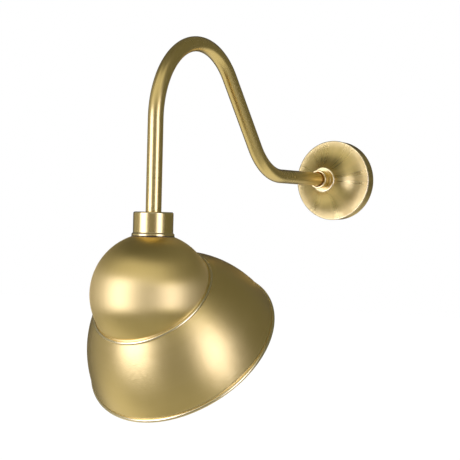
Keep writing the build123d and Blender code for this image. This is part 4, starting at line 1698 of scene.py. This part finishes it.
@dataclass
class Studio:
    """Camera, pale floor, white surroundings, soft boxes and dark flags."""

    azimuth: float = math.radians(29.63506)
    fall: float = math.radians(0.21595)
    roll: float = math.radians(1.34884)
    place: Triple = (1.161193, -2.398765, -0.075619)
    focal_pixels: float = 1604.24
    photo_pixels: float = 460.0
    sensor: float = 36.0
    floor_z: float = -2.0
    floor_size: float = 60.0
    floor_colour: Triple = (0.85, 0.85, 0.85)
    floor_glow: float = 1.15
    floor_glow_share: float = 0.85
    room_light: float = 0.4
    shade_ahead: float = 0.07
    room_radius: float = 8.0
    room_columns: int = 96
    room_rows: int = 49
    target: Triple = (0.0, -0.5, -0.12)
    surround: Triple = (0.13, 0.13, 0.11)
    boards: tuple[Board, ...] = (
        Board(0, 360, -70, 80, (0.38, 0.38, 0.36), soft=1, soft_height=18),
        Board(-105, 60, 0, 60, (0.36, 0.36, 0.36), soft=14, soft_height=14),
        Board(110, 130, 20, 110, (0.15, 0.15, 0.12), soft=20, soft_height=22),
        Board(180, 180, -50, 50, (0.75, 0.75, 0.75), soft=14, soft_height=10),
        Board(180, 60, 0, 60, (0.05, 0.05, 0.06), soft=12, soft_height=12),
        Board(-25, 130, 39, 45, (0.72, 0.72, 0.72), soft=16, soft_height=10),
        Board(-12, 50, -5, 60, (0.23, 0.23, 0.23), soft=8, soft_height=14),
    )
    panels: tuple[Panel, ...] = (
        Panel("left_soft_box", -55, 0.9, -0.16, 1.06, 1.37,
              edge=(0.72, 0.72, 0.72), core=(2.98, 3.12, 5.10), soft=0.16),
        Panel("right_soft_box", 39, 2.0, -0.19, 1.68, 2.46,
              edge=(1.47, 1.47, 1.47), core=(2.72, 2.84, 4.90), soft=0.29),
    )
    lamps: tuple[SoftLamp, ...] = (
        SoftLamp("left_lamp", -58, 10, 1.6, 2.2, 34),
        SoftLamp("right_lamp", 40, 10, 1.4, 2.0, 24),
        SoftLamp("back_lamp", 180, 35, 2.4, 1.6, 14),
    )

    def build(self) -> None:
        """Make everything that stands round the light."""
        self.make_camera()
        self.make_world()
        self.make_floor()
        self.make_room()
        for panel in self.panels:
            self.make_panel(panel)
        self.make_lights()

    def make_camera(self) -> None:
        """Set the camera where the photograph was taken from, with its roll."""
        a, e, r = self.azimuth, self.fall, self.roll
        ahead = np.array([-math.sin(a) * math.cos(e), math.cos(a) * math.cos(e), -math.sin(e)])
        level = np.array([math.cos(a), math.sin(a), 0.0])
        up = np.cross(level, ahead)
        right = math.cos(r) * level + math.sin(r) * up
        top = -math.sin(r) * level + math.cos(r) * up
        data = bpy.data.cameras.new("photo_camera")
        data.sensor_width = self.sensor
        data.lens = self.focal_pixels / self.photo_pixels * self.sensor
        data.clip_start, data.clip_end = 0.1, 200.0
        camera = stand("photo_camera", data)
        camera.matrix_world = matrix_of(right, top, -ahead, self.place)
        bpy.context.scene.camera = camera

    def make_world(self) -> None:
        """White where it is seen, and a plain soft level where it lights."""
        world = bpy.data.worlds.new("white_room")
        bpy.context.scene.world = world
        bpy.context.scene.view_settings.view_transform = "Standard"
        shop = Workshop(world)
        level = shop.seen() * (1 - self.room_light) + self.room_light
        sky = shop.node("ShaderNodeBackground", {"Color": (1, 1, 1), "Strength": level})
        shop.close(sky.outputs[0])

    def make_floor(self) -> None:
        """A pale floor far below, which keeps the light's shadow."""
        half = self.floor_size / 2
        mesh = bpy.data.meshes.new("pale_floor")
        corners = [(-half, -half), (half, -half), (half, half), (-half, half)]
        mesh.from_pydata([(x, y, self.floor_z) for x, y in corners], [], [(0, 1, 2, 3)])
        shop = Workshop.material("pale_floor")
        matt = shop.node("ShaderNodeBsdfDiffuse", {"Color": self.floor_colour}).outputs[0]
        glow = shop.glow((1, 1, 1), self.floor_glow)
        shader = shop.either(shop.seen() * self.floor_glow_share, matt, glow)
        mesh.materials.append(shop.close(shader))
        floor = stand("pale_floor", mesh)
        floor.visible_glossy = False

    def make_room(self) -> None:
        """The white and dark boards and soft boxes round the light, which only gloss shows.

        A sphere whose glow depends on the direction from its middle. The heading is
        atan2(p . right, p . front) from the camera's side, and the height is asin(z), in degrees.
        """
        angle = np.arange(self.room_columns)[None, :] * TURN / self.room_columns
        polar = np.linspace(-math.pi / 2, math.pi / 2, self.room_rows)[:, None]
        points = self.room_radius * np.stack(np.broadcast_arrays(
            np.cos(polar) * np.cos(angle), np.cos(polar) * np.sin(angle), np.sin(polar)), -1)
        grid = Grid(points, points, closed_rows=False)
        mesh = bpy.data.meshes.new("studio_boards")
        mesh.from_pydata(points.reshape(-1, 3).tolist(), [], grid.faces().tolist())
        close_poles(mesh)
        mesh.materials.append(self.board_material())
        room = stand("studio_boards", mesh)
        room.location = self.target
        self.show_to_gloss_only(room)

    def board_material(self) -> bpy.types.Material:
        """Glow of the boards, one over the other.

        Returns:
            The material.
        """
        shop = Workshop.material("studio_boards")
        way = shop.vector("NORMALIZE", {0: shop.place()})
        right = (math.cos(self.azimuth), math.sin(self.azimuth), 0.0)
        front = (math.sin(self.azimuth), -math.cos(self.azimuth), 0.0)
        along, ahead = (
            shop.value("ShaderNodeVectorMath", {0: way, 1: axis}, "Value", operation="DOT_PRODUCT")
            for axis in (right, front)
        )
        up = shop.value("ShaderNodeSeparateXYZ", {0: way}, 2)
        heading = along.maths("ARCTAN2", ahead) * (360 / TURN)
        height = up.maths("ARCSINE") * (360 / TURN)
        colour = self.surround
        for board in self.boards:
            for middle in board.headings:
                mask = heading.within(middle, board.width / 2, board.soft)
                mask = mask * height.within(board.height, board.tall / 2, board.soft_height)
                colour = shop.mix(mask, colour, board.colour)
        shop.owner.cycles.emission_sampling = "NONE"
        return shop.close(shop.glow(colour))

    def facing(self, heading: float, lift: float, distance: float, anchor: Spot) -> Matrix:
        """Matrix of something flat that looks at an anchor from a distance.

        Args:
            heading: Degrees from the camera's side.
            lift: Degrees above level.
            distance: Distance from the anchor.
            anchor: The point that it looks at.

        Returns:
            Matrix whose Z axis points away from the anchor.
        """
        turn, rise = self.azimuth + math.radians(heading), math.radians(lift)
        way = np.array([math.sin(turn) * math.cos(rise), -math.cos(turn) * math.cos(rise),
                        math.sin(rise)])
        sideways = unit(np.cross(Z_AXIS, way))
        return matrix_of(sideways, np.cross(way, sideways), way, np.array(anchor) + way * distance)

    def make_panel(self, panel: Panel) -> None:
        """Make one soft box as a flat sheet with faded edges.

        Args:
            panel: The soft box.
        """
        half = np.array([panel.width / 2, panel.tall / 2])
        corners = [(-1, -1), (1, -1), (1, 1), (-1, 1)]
        mesh = bpy.data.meshes.new(panel.name)
        mesh.from_pydata([(*(half * c), 0.0) for c in corners], [], [(0, 1, 2, 3)])
        shop = Workshop.material(panel.name)
        parts = shop.node("ShaderNodeSeparateXYZ", {0: shop.place()}).outputs
        across, up = Value(shop, parts[0]), Value(shop, parts[1])

        def patch(size: Array) -> Value:
            """1 within half a width and half a height, with faded edges."""
            return across.within(0, size[0], panel.soft) * up.within(0, size[1], panel.soft)

        body, heart = patch(half - panel.soft), patch(half * panel.core_share)
        glow = shop.glow(shop.mix(heart, panel.edge, panel.core))
        clear = shop.node("ShaderNodeBsdfTransparent").outputs[0]
        shop.owner.cycles.emission_sampling = "NONE"
        mesh.materials.append(shop.close(shop.either(body, clear, glow)))
        sheet = stand(panel.name, mesh)
        anchor = (self.target[0], self.target[1] - self.shade_ahead, panel.level)
        sheet.matrix_world = self.facing(panel.heading, 0.0, panel.distance, anchor)
        self.show_to_gloss_only(sheet)

    @staticmethod
    def show_to_gloss_only(piece: bpy.types.Object) -> None:
        """Mark a piece of the studio that only glossy rays meet.

        Args:
            piece: The piece.
        """
        piece.visible_camera = piece.visible_diffuse = piece.visible_shadow = False
        piece.visible_transmission = piece.visible_volume_scatter = False

    def make_lights(self) -> None:
        """Soft lamps on both sides of the camera and a weak one behind."""
        for lamp in self.lamps:
            data = bpy.data.lights.new(lamp.name, "AREA")
            data.shape = "RECTANGLE"
            data.size, data.size_y, data.energy = lamp.width, lamp.height, lamp.power
            piece = stand(lamp.name, data)
            piece.matrix_world = self.facing(lamp.heading, lamp.lift, lamp.distance, self.target)
            piece.visible_camera = piece.visible_glossy = False


# The whole.


def main() -> None:
    """Build the light piece by piece."""
    logging.basicConfig(level=logging.INFO, format="%(name)s: %(message)s")
    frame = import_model()
    bench, finishes = Bench(frame), Finishes()
    for assembly in (Arm, WallEnd, CanopySet, Shade, Socket, Lamp):
        assembly(bench, finishes).build()
    Studio().build()


if __name__ == "__main__":
    main()
